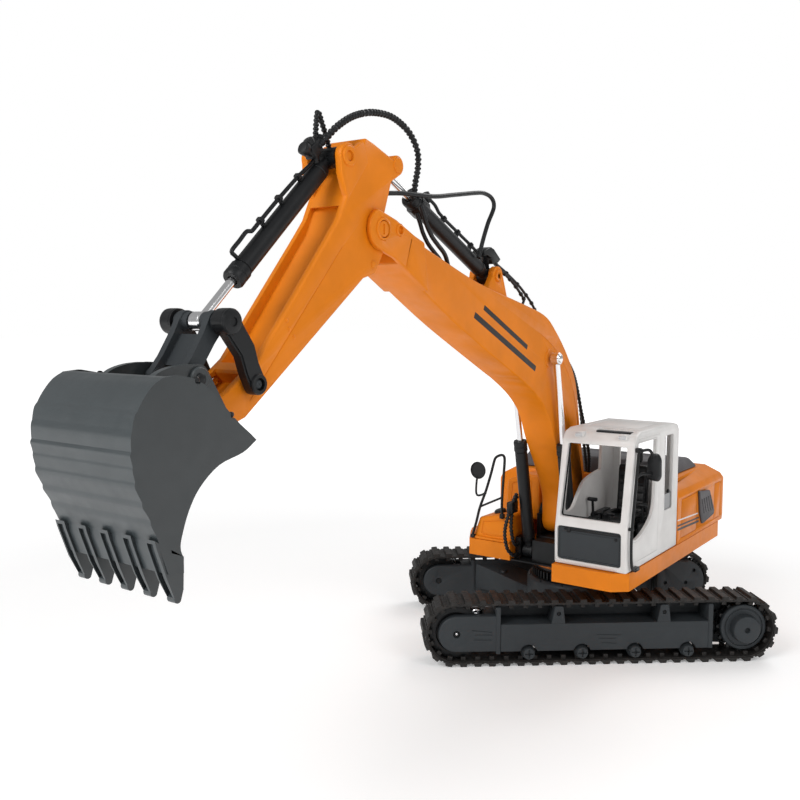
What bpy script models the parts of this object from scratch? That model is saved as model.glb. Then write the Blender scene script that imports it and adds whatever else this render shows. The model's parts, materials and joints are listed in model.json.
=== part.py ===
"""A 1:20 toy tracked excavator, modelled piece by piece around its real pivots.

Metres, +Z up, floor at z = 0. +X points forward along the boom and +Y to the cab's side.
The origin is on the floor under the middle of the machine; the slew axis stands at x = SLEW_X.
House, boom, stick and bucket points are measured from the slew axis. The undercarriage is drawn
with its tracks along x and then turned under the house by TRACK_TURN.
"""
import math

import bmesh
import bpy
from mathutils import Matrix, Vector

# --- Driving dimensions -----------------------------------------------------------------------
SLEW_X = -0.1515            # slew axis, from the middle of the whole machine
TRACK_TURN = -51.0          # degrees about +Z from the house's forward axis to the tracks'
GAP = 0.0004                # air between neighbouring pieces

AXLE_HALF = 0.1025          # half the distance from sprocket to idler
HUB_Z = 0.0235              # height of sprocket and idler axles
BELT_TIP, BELT_PLATE, BELT_INSIDE = 0.0235, 0.0218, 0.0195
SHOES = 54
BELT_Y = (0.0500, 0.0760)   # inner and outer edge of a track belt
WHEEL_R = 0.0186
ROLLER_X = (0.0520, 0.0144, -0.0232, -0.0608)
ROLLER_Z, ROLLER_R = 0.0094, 0.0050
FRAME_Y = (0.0535, 0.0765)
BEAM_Z = (0.0108, 0.0303)
PLATE_TOP = 0.0424

DECK_Z = (0.0625, 0.0747)
DECK_TOP = 0.0750           # underside of what stands on the deck
HOUSE_HALF = 0.0745
CAB_Y = (0.0222, 0.0745)
CAB_WALL = 0.0024

BOOM_HALF, FORK_HALF, STICK_HALF = 0.0118, 0.0155, 0.0125
CYL_Y = 0.0170              # boom cylinders, either side of the boom
FOOT = (0.0245, 0.0945)     # every pivot below is (x, z) from the slew axis and the floor
BOOM_CYL_BASE, BOOM_CYL_PIN = (0.0455, 0.0690), (0.0755, 0.2144)
STICK_PIN = (0.2703, 0.2880)
STICK_CYL_BASE, STICK_CYL_PIN = (0.1421, 0.2687), (0.2536, 0.3220)
BUCKET_CYL_BASE, CROSS_PIN = (0.2944, 0.3214), (0.3800, 0.2420)
ROCKER_PIN, LINK_PIN, BUCKET_PIN = (0.3642, 0.2150), (0.3960, 0.2190), (0.3851, 0.2007)
BUCKET_HALF = 0.0310
PLATE = 0.0026              # bucket side plates
EAR_Y = (0.0130, 0.0162)    # bucket ears, just outside the stick

ORANGE = ("orange_plastic", (0.80, 0.32, 0.03), 0.40, 0.0)
WHITE = ("white_plastic", (0.78, 0.77, 0.74), 0.35, 0.0)
SLATE = ("slate_plastic", (0.085, 0.095, 0.10), 0.50, 0.0)
IRON = ("bucket_grey", (0.12, 0.14, 0.145), 0.45, 0.3)
BLACK = ("black_plastic", (0.02, 0.02, 0.022), 0.45, 0.0)
RUBBER = ("track_rubber", (0.025, 0.022, 0.02), 0.80, 0.0)
GREY = ("grey_plastic", (0.16, 0.16, 0.165), 0.55, 0.0)
STEEL = ("bright_steel", (0.72, 0.72, 0.74), 0.20, 1.0)
CAST = ("cast_weight", (0.20, 0.20, 0.20), 0.70, 0.8)
BOARD = ("circuit_board", (0.02, 0.20, 0.08), 0.50, 0.0)
CELLS = ("battery_wrap", (0.05, 0.10, 0.35), 0.40, 0.0)


# --- Tools ------------------------------------------------------------------------------------
def material(kind):
    name, colour, roughness, metallic = kind
    found = bpy.data.materials.get(name)
    if found:
        return found
    made = bpy.data.materials.new(name)
    made.use_nodes = True
    shader = made.node_tree.nodes["Principled BSDF"]
    shader.inputs["Base Color"].default_value = (*colour, 1.0)
    shader.inputs["Roughness"].default_value = roughness
    shader.inputs["Metallic"].default_value = metallic
    return made


def link(data):
    thing = bpy.data.objects.new("shape", data)
    bpy.context.scene.collection.objects.link(thing)
    return thing


def from_bmesh(bm):
    bmesh.ops.recalc_face_normals(bm, faces=bm.faces)
    mesh = bpy.data.meshes.new("shape")
    bm.to_mesh(mesh)
    bm.free()
    return link(mesh)


def as_mesh(thing):
    """The thing with its modifiers or curve turned into a plain mesh."""
    graph = bpy.context.evaluated_depsgraph_get()
    made = link(bpy.data.meshes.new_from_object(thing.evaluated_get(graph)))
    bpy.data.objects.remove(thing)
    return made


def arc(centre, radius, start, end, steps=8):
    """Points on a circle, from the start angle to the end angle in degrees."""
    angles = [math.radians(start + (end - start) * i / steps) for i in range(steps + 1)]
    return [(centre[0] + radius * math.cos(a), centre[1] + radius * math.sin(a)) for a in angles]


def prism(outline, low, high, across="y"):
    """A flat outline pushed through from low to high along one axis."""
    put = {"x": lambda a, b, d: (d, a, b),
           "y": lambda a, b, d: (a, d, b),
           "z": lambda a, b, d: (a, b, d)}[across]
    bm = bmesh.new()
    corners = [bm.verts.new(put(a, b, low)) for a, b in outline]
    edges = [bm.edges.new((corners[i - 1], corners[i])) for i in range(len(corners))]
    made = bmesh.ops.triangle_fill(bm, edges=edges, use_beauty=True)
    faces = [g for g in made["geom"] if isinstance(g, bmesh.types.BMFace)]
    grown = bmesh.ops.extrude_face_region(bm, geom=faces)
    moved = [g for g in grown["geom"] if isinstance(g, bmesh.types.BMVert)]
    bmesh.ops.translate(bm, verts=moved, vec=put(0.0, 0.0, high - low))
    return from_bmesh(bm)


def block(low, high):
    outline = [(low[0], low[1]), (high[0], low[1]), (high[0], high[1]), (low[0], high[1])]
    return prism(outline, low[2], high[2], "z")


def rod(start, end, radius, sides=16, end_radius=None):
    """A round bar, or a cone, between two points."""
    start, end = Vector(start), Vector(end)
    reach = end - start
    turn = reach.to_track_quat("Z", "Y").to_matrix().to_4x4()
    bm = bmesh.new()
    bmesh.ops.create_cone(bm, cap_ends=True, segments=sides, radius1=radius,
                          radius2=radius if end_radius is None else end_radius, depth=reach.length,
                          matrix=Matrix.Translation((start + end) / 2) @ turn)
    return from_bmesh(bm)


def cross_rod(point, radius, low, high, sides=20):
    """A bar along y through an (x, z) point."""
    return rod((point[0], low, point[1]), (point[0], high, point[1]), radius, sides)


def smooth_route(points, spacing):
    """Points every spacing or so on a Catmull-Rom curve through the given ones."""
    points = [Vector(p) for p in points]
    ends = [2 * points[0] - points[1]] + points + [2 * points[-1] - points[-2]]
    route = []
    for a, b, c, d in zip(ends, ends[1:], ends[2:], ends[3:]):
        steps = max(1, round((c - b).length / spacing))
        for i in range(steps):
            t = i / steps
            route.append(0.5 * (2 * b + (c - a) * t + (2 * a - 5 * b + 4 * c - d) * t * t
                                + (3 * b - a - 3 * c + d) * t ** 3))
    return route + [points[-1]]


def tube(points, radius, spacing=None):
    """A hose or bent rail: a curve with a round bevel and filled ends."""
    route = smooth_route(points, spacing) if spacing else [Vector(p) for p in points]
    curve = bpy.data.curves.new("shape", "CURVE")
    curve.dimensions = "3D"
    curve.bevel_depth = radius
    curve.bevel_resolution = 2
    curve.use_fill_caps = True
    spline = curve.splines.new("POLY")
    spline.points.add(len(route) - 1)
    for target, point in zip(spline.points, route):
        target.co = (*point, 1.0)
    return link(curve)


def boolean(base, others, operation):
    for other in others:
        if other.type == "CURVE":
            other = as_mesh(other)
        step = base.modifiers.new("join", "BOOLEAN")
        step.solver = "EXACT"
        step.operation = operation
        step.object = other
        base = as_mesh(base)
        bpy.data.objects.remove(other)
    return base


def join(base, *others):
    return boolean(as_mesh(base) if base.type == "CURVE" else base, others, "UNION")


def cut(base, *others):
    return boolean(base, others, "DIFFERENCE")


def overlap_of(base, *others):
    return boolean(base, others, "INTERSECT")


def mirrored(outline):
    """An (a, b) outline's points with a negated, in the opposite order."""
    return [(-a, b) for a, b in reversed(outline)]


def pivot(name, point=(0.0, 0.0, 0.0), parent=None):
    """An empty on a joint's axis. Its point is kept, so that pieces drawn around it can be hung on it."""
    empty = bpy.data.objects.new(name, None)
    bpy.context.scene.collection.objects.link(empty)
    empty["point"] = point
    empty.location = Vector(point) - (Vector(parent["point"]) if parent else Vector())
    empty.parent = parent
    return empty


def place(name, shape, kind, frame):
    """Names a finished shape, gives it its material and hangs it on its frame's pivot."""
    if shape.type == "MESH":
        shape.data.transform(Matrix.Translation(-Vector(frame["point"])))
        shape.data.shade_smooth()
        shape.data.set_sharp_from_angle(angle=math.radians(35))
    else:
        shape.location = -Vector(frame["point"])
    shape.name = shape.data.name = name
    shape.data.materials.clear()
    shape.data.materials.append(material(kind))
    shape.parent = frame
    return shape


# --- Undercarriage ----------------------------------------------------------------------------
def belt_point(share, radius):
    """A point at that radius around the two axles, a fraction of the way round the belt."""
    middle = (BELT_TIP + BELT_INSIDE) / 2
    straight, bend = 2 * AXLE_HALF, math.pi * middle
    run = (share % 1.0) * 2 * (straight + bend)
    side = 1.0 if run < straight + bend else -1.0
    run -= 0.0 if side > 0 else straight + bend
    if run < straight:
        x, z = -AXLE_HALF + run, radius
    else:
        angle = (run - straight) / middle
        x, z = AXLE_HALF + radius * math.sin(angle), radius * math.cos(angle)
    return side * x, HUB_Z + side * z


def track_belt(side):
    """A closed ring of shoes, each with a raised block over half of its length."""
    outer = []
    for shoe in range(SHOES):
        for share, radius in ((0.24, BELT_PLATE), (0.30, BELT_TIP), (0.76, BELT_TIP), (0.82, BELT_PLATE)):
            outer.append(belt_point((shoe + share) / SHOES, radius))
    inner = [belt_point(i / (2 * SHOES), BELT_INSIDE) for i in range(2 * SHOES)]
    low, high = sorted(side * y for y in BELT_Y)
    bm = bmesh.new()
    rings = [[bm.verts.new((x, low, z)) for x, z in loop] for loop in (outer, inner)]
    edges = [bm.edges.new((ring[i - 1], ring[i])) for ring in rings for i in range(len(ring))]
    made = bmesh.ops.triangle_fill(bm, edges=edges, use_beauty=True)
    faces = [g for g in made["geom"] if isinstance(g, bmesh.types.BMFace)]
    grown = bmesh.ops.extrude_face_region(bm, geom=faces)
    moved = [g for g in grown["geom"] if isinstance(g, bmesh.types.BMVert)]
    bmesh.ops.translate(bm, verts=moved, vec=(0.0, high - low, 0.0))
    return from_bmesh(bm)


def track_frame(side):
    """Side beam with roller pockets, idler fork, end plates and top brackets."""
    low, high = sorted(side * y for y in FRAME_Y)
    front, fork_r = 0.0718, 0.0128
    outline = [(-0.0786, 0.0105), (-0.0752, 0.0105), (-0.0752, BEAM_Z[0])]
    for x in reversed(ROLLER_X):
        outline += arc((x, ROLLER_Z), ROLLER_R + 0.0010, 166.5, 13.5)
    outline += [(front, BEAM_Z[0]), (front, 0.0090), (front + 0.0033, 0.0090),
                (front + 0.0033, HUB_Z - fork_r)]
    outline += arc((AXLE_HALF, HUB_Z), fork_r, -90, 90, 12)
    outline += [(front + 0.0033, HUB_Z + fork_r), (front + 0.0033, PLATE_TOP), (front, PLATE_TOP),
                (front, BEAM_Z[1])]
    for x, slope in ((0.0268, 0.0030), (-0.0480, 0.0030)):
        outline += [(x + 0.0092, BEAM_Z[1]), (x + 0.0092 - slope, PLATE_TOP), (x, PLATE_TOP),
                    (x, BEAM_Z[1])]
    outline += [(-0.0752, BEAM_Z[1]), (-0.0752, PLATE_TOP), (-0.0786, PLATE_TOP)]
    body = prism(outline, low, high)
    web = sorted(side * y for y in (0.0540, 0.0565))
    body = join(body, prism([(-0.0760, 0.0295), (0.0725, 0.0295), (0.0725, 0.0405), (-0.0760, 0.0405)],
                            *web))
    slot = sorted(side * y for y in (0.0590, 0.0708))
    reach = AXLE_HALF - WHEEL_R - 0.0008
    fork = prism([(reach, 0.0), (0.13, 0.0), (0.13, 0.05), (reach, 0.05)], *slot)
    return cut(body, fork, cross_rod((AXLE_HALF, HUB_Z), 0.0024, -0.1, 0.1, 16))


def motor_cover(side):
    """Gearbox half that closes the track's inner side behind the sprocket."""
    low, high = sorted(side * y for y in (0.0440, 0.0575))
    rear = -0.0790
    outline = [(rear, 0.0080), (rear, 0.0390)] + arc((-AXLE_HALF, HUB_Z), 0.0165, 82, 278, 14)
    return prism(outline, low, high)


def sprocket(side):
    """Toothed rim, outer disc and the final drive's round cap, on one hub."""
    teeth, root = 13, 0.0160
    outline = []
    for tooth in range(teeth):
        for share, radius in ((-0.22, root), (-0.12, WHEEL_R), (0.12, WHEEL_R), (0.22, root)):
            angle = 2 * math.pi * (tooth + share) / teeth
            outline.append((-AXLE_HALF + radius * math.cos(angle), HUB_Z + radius * math.sin(angle)))
    centre = (-AXLE_HALF, HUB_Z)
    wheel = prism(outline, *sorted(side * y for y in (0.0584, 0.0690)))
    disc = cross_rod(centre, 0.0165, side * 0.0680, side * 0.0712, 32)
    return join(wheel, disc, cross_rod(centre, 0.0099, side * 0.0700, side * 0.0785, 28))


def idler(side):
    centre = (AXLE_HALF, HUB_Z)
    wheel = cross_rod(centre, WHEEL_R, side * 0.0594, side * 0.0704, 32)
    return join(wheel, cross_rod(centre, 0.0020, side * 0.0540, side * 0.0762, 12))


def roller(side, x):
    return cross_rod((x, ROLLER_Z), ROLLER_R, side * 0.0540, side * 0.0785, 16)


def chassis():
    """Four arms from the round turntable base to the track frames, their tops rising outwards."""
    corner = [(0.0300, 0.0), (0.0420, 0.0280), (0.0720, 0.0530), (0.0440, 0.0530), (0.0180, 0.0330)]
    half = corner + mirrored(corner)[:-1]
    arms = prism(half + [(-x, -y) for x, y in half], 0.0170, 0.0300, "z")
    for vertex in arms.data.vertices:
        if vertex.co.z > 0.0290:
            vertex.co.z = 0.0300 + 0.0080 * max(0.0, abs(vertex.co.y) - 0.0280) / 0.0250
    return join(arms, rod((0, 0, 0.0250), (0, 0, 0.0440), 0.0380, 32))


def build_undercarriage():
    root = pivot("undercarriage")
    root.location.x = SLEW_X
    root.rotation_euler.z = math.radians(TRACK_TURN)
    place("chassis", chassis(), SLATE, root)
    place("slew_ring", rod((0, 0, 0.0444), (0, 0, 0.0530), 0.0340, 32), BLACK, root)
    for label, side in (("left", 1), ("right", -1)):
        place("track_frame_" + label, track_frame(side), SLATE, root)
        place("track_belt_" + label, track_belt(side), RUBBER, root)
        place("gearbox_" + label, motor_cover(side), SLATE, root)
        axle = pivot("sprocket_axle_" + label, (-AXLE_HALF, 0.0, HUB_Z), root)
        place("sprocket_" + label, sprocket(side), SLATE, axle)
        axle = pivot("idler_axle_" + label, (AXLE_HALF, 0.0, HUB_Z), root)
        place("idler_" + label, idler(side), BLACK, axle)
        for number, x in enumerate(ROLLER_X, 1):
            axle = pivot(f"roller_axle_{label}_{number}", (x, 0.0, ROLLER_Z), root)
            place(f"roller_{label}_{number}", roller(side, x), SLATE, axle)


# --- House ------------------------------------------------------------------------------------
def deck():
    """Lower body of the house, notched at the front for the boom's bracket."""
    outline = [(0.0882, 0.0222), (0.0882, 0.0650), (0.0800, HOUSE_HALF), (-0.1100, HOUSE_HALF),
               (-0.1175, 0.0650),
               (-0.1175, -0.0650), (-0.1100, -HOUSE_HALF), (0.0360, -HOUSE_HALF), (0.0585, -0.0620),
               (0.0585, -0.0270), (0.0395, -0.0270), (0.0395, 0.0222)]
    return join(prism(outline, *DECK_Z, "z"), rod((0, 0, 0.0534), (0, 0, 0.0640), 0.0340, 32))


def rear_body():
    """Engine housing: a box with rounded shoulders and a bowed tail, hollow and open underneath."""
    front, top, shoulder = -0.0106, 0.1205, 0.1142
    side = prism([(front, DECK_TOP), (-0.1195, DECK_TOP), (-0.1262, 0.0925), (-0.1235, 0.1060),
                  (-0.1180, shoulder), (-0.1140, top), (front, top)], -0.08, 0.08)
    section = prism([(-HOUSE_HALF, 0.07), (HOUSE_HALF, 0.07), (HOUSE_HALF, 0.1100), (0.0725, shoulder),
                     (0.0610, top),
                     (-0.0610, top), (-0.0725, shoulder), (-HOUSE_HALF, 0.1100)], -0.14, 0.01, "x")
    plan = prism([(0.01, 0.08), (-0.1175, 0.08), (-0.1215, 0.0745), (-0.1250, 0.0690), (-0.1266, 0.0400),
                  (-0.1266, -0.0400), (-0.1250, -0.0690), (-0.1215, -0.0745), (-0.1175, -0.08),
                  (0.01, -0.08)],
                 0.06, 0.13, "z")
    shell = overlap_of(side, section, plan)
    room = block((-0.1140, -0.0710, 0.0700), (front - 0.0030, 0.0710, 0.1085))
    upper = block((-0.1080, -0.0600, 0.1050), (front - 0.0030, 0.0600, 0.1170))
    return cut(shell, join(room, upper))


def engine_hood():
    """Low grey hood, wider at its foot, falling slightly to the rear."""
    hood = block((-0.0980, -0.0605, 0.1208), (-0.0180, 0.0605, 0.1330))
    for vertex in hood.data.vertices:
        if vertex.co.z > 0.1300:
            vertex.co.y *= 0.90
            rear = vertex.co.x < -0.0500
            vertex.co.x += 0.0060 if rear else -0.0040
            vertex.co.z = 0.1285 if rear else 0.1335
    return hood


def vent_panel(side):
    """Six-sided air intake cover on the side of the engine housing."""
    outline = [(-0.0549, 0.1086), (-0.0804, 0.1056), (-0.0938, 0.0872), (-0.0920, 0.0841),
               (-0.0644, 0.0811), (-0.0585, 0.0907)]
    return prism(outline, *sorted(side * y for y in (HOUSE_HALF + GAP, HOUSE_HALF + 0.0018)))


def right_tank():
    """Low tank on the far side of the boom, with a raised housing behind it beside the boom."""
    front = 0.0560
    section = [(-0.0275, DECK_TOP), (-0.0275, 0.0960), (-0.0330, 0.0960), (-0.0545, 0.0915),
               (-0.0605, DECK_TOP)]
    housing = [(-0.0158, 0.0900), (-0.0158, 0.1240), (-0.0300, 0.1240), (-0.0430, 0.1180),
               (-0.0450, 0.0900)]
    return join(prism(section, -0.0100, front, "x"), prism(housing, -0.0104, 0.0340, "x"))


def right_handrail():
    """Bent rail on the toolbox corner with a cross bar and a round mirror on a stalk."""
    x, r = 0.0574, 0.0010
    rail = tube([(x, -0.0590, 0.0762), (x, -0.0585, 0.0800), (x, -0.0530, 0.0995), (x, -0.0437, 0.1260),
                 (x, -0.0400, 0.1390), (x, -0.0370, 0.1410), (x, -0.0335, 0.1405), (x, -0.0322, 0.1370),
                 (x, -0.0340, 0.0940)], r, 0.004)
    bar = tube([(x, -0.0528, 0.1000), (x, -0.0333, 0.1095)], r)
    stalk = tube([(x, -0.0478, 0.1112), (x, -0.0530, 0.1090), (x, -0.0563, 0.1095), (x, -0.0562, 0.1230)],
                 r, 0.003)
    disc = rod((x - 0.0018, -0.0546, 0.1276), (x + 0.0010, -0.0546, 0.1276), 0.0064, 20)
    return join(rail, bar, stalk, disc)


def boom_bracket():
    """Black casting in the deck's notch: cheeks and pin for the boom foot, stubs for both cylinders."""
    base = block((0.0060, -0.0152, DECK_TOP), (0.0400, 0.0152, 0.0800))
    nose = block((0.0400, -0.0262, 0.0626), (0.0580, 0.0215, 0.0636))
    nose = join(nose, block((0.0399, -0.0262, 0.0630), (0.0510, -0.0220, 0.0790)),
                block((0.0398, -0.0112, 0.0630), (0.0530, 0.0112, 0.0790)))
    cheek = [(0.0085, 0.0790), (0.0085, 0.0960)] + arc(FOOT, 0.0110, 170, 10, 8) + [(0.0385, 0.0960),
                                                                                    (0.0385, 0.0790)]
    parts = [prism(cheek, *sorted((side * 0.0122, side * 0.0152))) for side in (1, -1)]
    pins = [cross_rod(FOOT, 0.0030, -0.0150, 0.0150, 16)]
    pins.append(cross_rod(BOOM_CYL_BASE, 0.0020, -0.0225, 0.0212, 12))
    return join(base, nose, *parts, *pins)


CAB_SIDE = [(-0.0100, DECK_TOP), (0.0850, DECK_TOP), (0.0855, 0.0985), (0.0752, 0.1600), (0.0715, 0.1650),
            (0.0640, 0.1670), (0.0, 0.1670), (-0.0070, 0.1655), (-0.0100, 0.1620)]


def cab_frame():
    """White cab: one shell with open front, door, rear and boom-side windows."""
    low, high = CAB_Y
    wall = CAB_WALL
    shell = prism(CAB_SIDE, low, high)
    room = [(-0.0076, 0.0774), (0.0826, 0.0774), (0.0831, 0.0982), (0.0730, 0.1590), (0.0700, 0.1632),
            (0.0640, 0.1646), (-0.0050, 0.1646), (-0.0076, 0.1625)]
    shell = cut(shell, prism(room, low + wall, high - wall))
    upper = block((0.06, 0.0255, 0.1072), (0.10, 0.0692, 0.1575))
    lower = block((0.0700, 0.0244, 0.0784), (0.10, 0.0704, 0.1012))
    door = [(0.0655, 0.1580), (0.0735, 0.1110), (0.0725, 0.0990), (0.0700, 0.0945), (0.0620, 0.0960),
            (0.0500, 0.1000),
            (0.0390, 0.1060), (0.0340, 0.1130), (0.0340, 0.1580)]
    door = prism(door, high - 0.01, high + 0.01)
    rear_slot = block((0.0005, high - 0.01, 0.1225), (0.0145, high + 0.01, 0.1610))
    inner = [(0.0660, 0.1570), (0.0740, 0.1080), (0.0600, 0.1080), (0.0500, 0.1220), (0.0140, 0.1300),
             (0.0140, 0.1570)]
    inner = prism(inner, low - 0.01, low + 0.01)
    back = block((-0.02, 0.0300, 0.1290), (0.0, 0.0660, 0.1580))
    return cut(shell, upper, lower, door, rear_slot, inner, back)


def cab_lower_panel():
    return block((0.0818, 0.0248, 0.0788), (0.0842, 0.0700, 0.1008))


def cab_interior():
    """Floor mat with the driver's consoles, steering column and two levers."""
    mat = block((-0.0060, 0.0252, 0.0779), (0.0780, 0.0714, 0.0795))
    parts = [block((0.0100, y, 0.0790), (0.0420, y + 0.0055, 0.1000)) for y in (0.0270, 0.0640)]
    parts += [rod((0.0380, y, 0.0990), (0.0400, y, 0.1130), 0.0014, 8, 0.0019) for y in (0.0297, 0.0668)]
    parts.append(block((0.0640, 0.0400, 0.0790), (0.0700, 0.0560, 0.1060)))
    parts.append(rod((0.0660, 0.0480, 0.1040), (0.0620, 0.0480, 0.1130), 0.0020, 10))
    parts.append(rod((0.0622, 0.0480, 0.1120), (0.0612, 0.0480, 0.1150), 0.0085, 20))
    return join(mat, *parts)


def cab_seat():
    """Seat box, cushion and backrest with a head cushion."""
    low, high = 0.0362, 0.0600
    outline = [(0.0120, 0.0799), (0.0330, 0.0799), (0.0330, 0.0930), (0.0400, 0.0940), (0.0400, 0.1010),
               (0.0160, 0.1010),
               (0.0100, 0.1480), (0.0040, 0.1480), (0.0080, 0.0940), (0.0120, 0.0930)]
    return prism(outline, low, high)


def cab_rail():
    """Black handrail up the front corner post with the mirror and its bracket."""
    y, r = 0.0766, 0.0011
    rail = tube([(0.0790, y, 0.0770), (0.0835, y, 0.0830), (0.0835, y, 0.0980), (0.0815, y, 0.1110),
                 (0.0765, y, 0.1400),
                 (0.0735, y, 0.1560)], r, 0.008)
    mirror = block((0.0620, 0.0785, 0.1345), (0.0650, 0.0915, 0.1540))
    arms = [tube([(0.0745, y, 0.1510), (0.0700, 0.0820, 0.1515), (0.0636, 0.0850, 0.1500)], r),
            tube([(0.0772, y, 0.1385), (0.0700, 0.0800, 0.1400), (0.0636, 0.0820, 0.1400)], r)]
    return join(rail, mirror, *arms)


def build_house():
    house = pivot("house")
    house.location.x = SLEW_X
    place("deck", deck(), ORANGE, house)
    place("rear_body", rear_body(), ORANGE, house)
    place("counterweight", block((-0.1120, -0.0580, 0.0756), (-0.0850, 0.0580, 0.1075)), CAST, house)
    place("battery_pack", block((-0.0800, -0.0340, 0.0756), (-0.0320, 0.0300, 0.0950)), CELLS, house)
    place("circuit_board", block((-0.0800, -0.0340, 0.1000), (-0.0320, 0.0340, 0.1016)), BOARD, house)
    place("slew_motor", rod((-0.0300, 0.0520, 0.0756), (-0.0300, 0.0520, 0.0980), 0.0120, 20), STEEL, house)
    place("engine_hood", engine_hood(), GREY, house)
    place("vent_panel_left", vent_panel(1), GREY, house)
    place("vent_panel_right", vent_panel(-1), GREY, house)
    place("right_tank", right_tank(), ORANGE, house)
    place("right_handrail", right_handrail(), BLACK, house)
    place("boom_bracket", boom_bracket(), BLACK, house)
    place("cab_frame", cab_frame(), WHITE, house)
    place("cab_lower_panel", cab_lower_panel(), SLATE, house)
    place("cab_interior", cab_interior(), BLACK, house)
    place("cab_seat", cab_seat(), BLACK, house)
    place("cab_rail", cab_rail(), BLACK, house)
    return house


# --- Boom, stick and bucket -------------------------------------------------------------------
def toward(start, end):
    """Unit direction and length from one (x, z) point to another."""
    step = Vector((end[0] - start[0], end[1] - start[1]))
    return step.normalized(), step.length


def along(start, end, distance, offset=0.0, y=0.0):
    """A point that far from start towards end, moved offset to the upper left of that line."""
    step, _ = toward(start, end)
    return (start[0] + step.x * distance - step.y * offset, y,
            start[1] + step.y * distance + step.x * offset)


def barrel(base, pin, length, radius, gland, bore, y=0.0, eye_half=0.0038, rail=None):
    """Cylinder body with an eye at its base, a bored end and, if asked, a feed pipe held by clamps."""
    neck = 0.0078
    body = rod(along(base, pin, neck, y=y), along(base, pin, length, y=y), radius)
    shank = rod(along(base, pin, 0.0, y=y), along(base, pin, neck + 0.001, y=y), min(0.0034, eye_half))
    nose = rod(along(base, pin, length - 0.0070, y=y), along(base, pin, length + 0.0006, y=y), gland)
    body = join(body, shank, nose, cross_rod(base, 0.0050, y - eye_half, y + eye_half, 16))
    if rail:
        first, last, offset = rail
        pipe = 0.0010
        side = math.copysign(1.0, offset)
        ends = [along(base, pin, first, side * radius * 0.5), along(base, pin, first, offset),
                along(base, pin, last, offset), along(base, pin, last + 0.0060, side * radius * 0.5)]
        body = join(body, tube(ends, pipe))
        for number in range(1, 4):
            spot = first + (last - first) * number / 3.6
            foot, head = along(base, pin, spot, side * radius * 0.6), along(base, pin, spot,
                                                                            offset + side * 0.0003)
            body = join(body, rod(foot, head, 0.0013, 7))
    drill = rod(along(base, pin, 0.0140, y=y), along(base, pin, length + 0.01, y=y), bore)
    return cut(body, drill, cross_rod(base, 0.0024, y - 0.01, y + 0.01, 12))


def piston_rod(base, pin, start, radius, y=0.0, eye_half=0.0030, head=None):
    """Bright rod with an eye at its outer end and, on the boom cylinders, the pin through it."""
    _, length = toward(base, pin)
    shape = join(rod(along(base, pin, start, y=y), along(base, pin, length, y=y), radius, 14),
                 cross_rod(pin, 0.0042, y - eye_half, y + eye_half, 16))
    if head:
        shape = join(shape, cross_rod(pin, 0.0022, *sorted(head), 14))
    return shape


def boom():
    """Gooseneck box beam, a fork at its tip, and lugs on top for the stick cylinder."""
    lower = [(0.2545, 0.2712), (0.2327, 0.2592), (0.1916, 0.2375), (0.1301, 0.2089), (0.1128, 0.2010),
             (0.0915, 0.1890), (0.0757, 0.1750), (0.0645, 0.1550), (0.0486, 0.1309), (0.0385, 0.1120),
             (0.0372, 0.1000)]
    upper = [(0.0112, 0.1000), (0.0122, 0.1144), (0.0211, 0.1496), (0.0271, 0.1747), (0.0330, 0.1960),
             (0.0471, 0.2158),
             (0.0667, 0.2339), (0.0837, 0.2443), (0.1191, 0.2527), (0.1694, 0.2635), (0.2131, 0.2769),
             (0.2422, 0.2866),
             (0.2545, 0.2915)]
    foot = arc(FOOT, 0.0134, -10, -170, 10)
    beam = prism(lower + foot + upper, -BOOM_HALF, BOOM_HALF)
    nose = arc(STICK_PIN, 0.0105, -80, 70, 10)
    fork = prism([(0.2280, 0.2567), (0.2600, 0.2741)] + nose + [(0.2584, 0.2935), (0.2422, 0.2866),
                                                                (0.2280, 0.2820)],
                 -FORK_HALF, FORK_HALF)
    slot = prism([(0.2545, 0.25), (0.30, 0.25), (0.30, 0.32), (0.2545, 0.32)], -STICK_HALF - GAP,
                 STICK_HALF + GAP)
    beam = cut(join(beam, cut(fork, slot)), cross_rod(FOOT, 0.0034, -0.03, 0.03, 16),
               cross_rod(STICK_PIN, 0.0033, -0.03, 0.03, 16))
    for side in (1, -1):
        lug = [(0.1290, 0.2530), (0.1560, 0.2580)] + arc(STICK_CYL_BASE, 0.0060, 0, 150, 8)
        beam = join(beam, prism(lug, *sorted((side * 0.0042, side * 0.0080))))
    return join(beam, cross_rod(STICK_CYL_BASE, 0.0020, -0.0060, 0.0060, 12))


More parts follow.
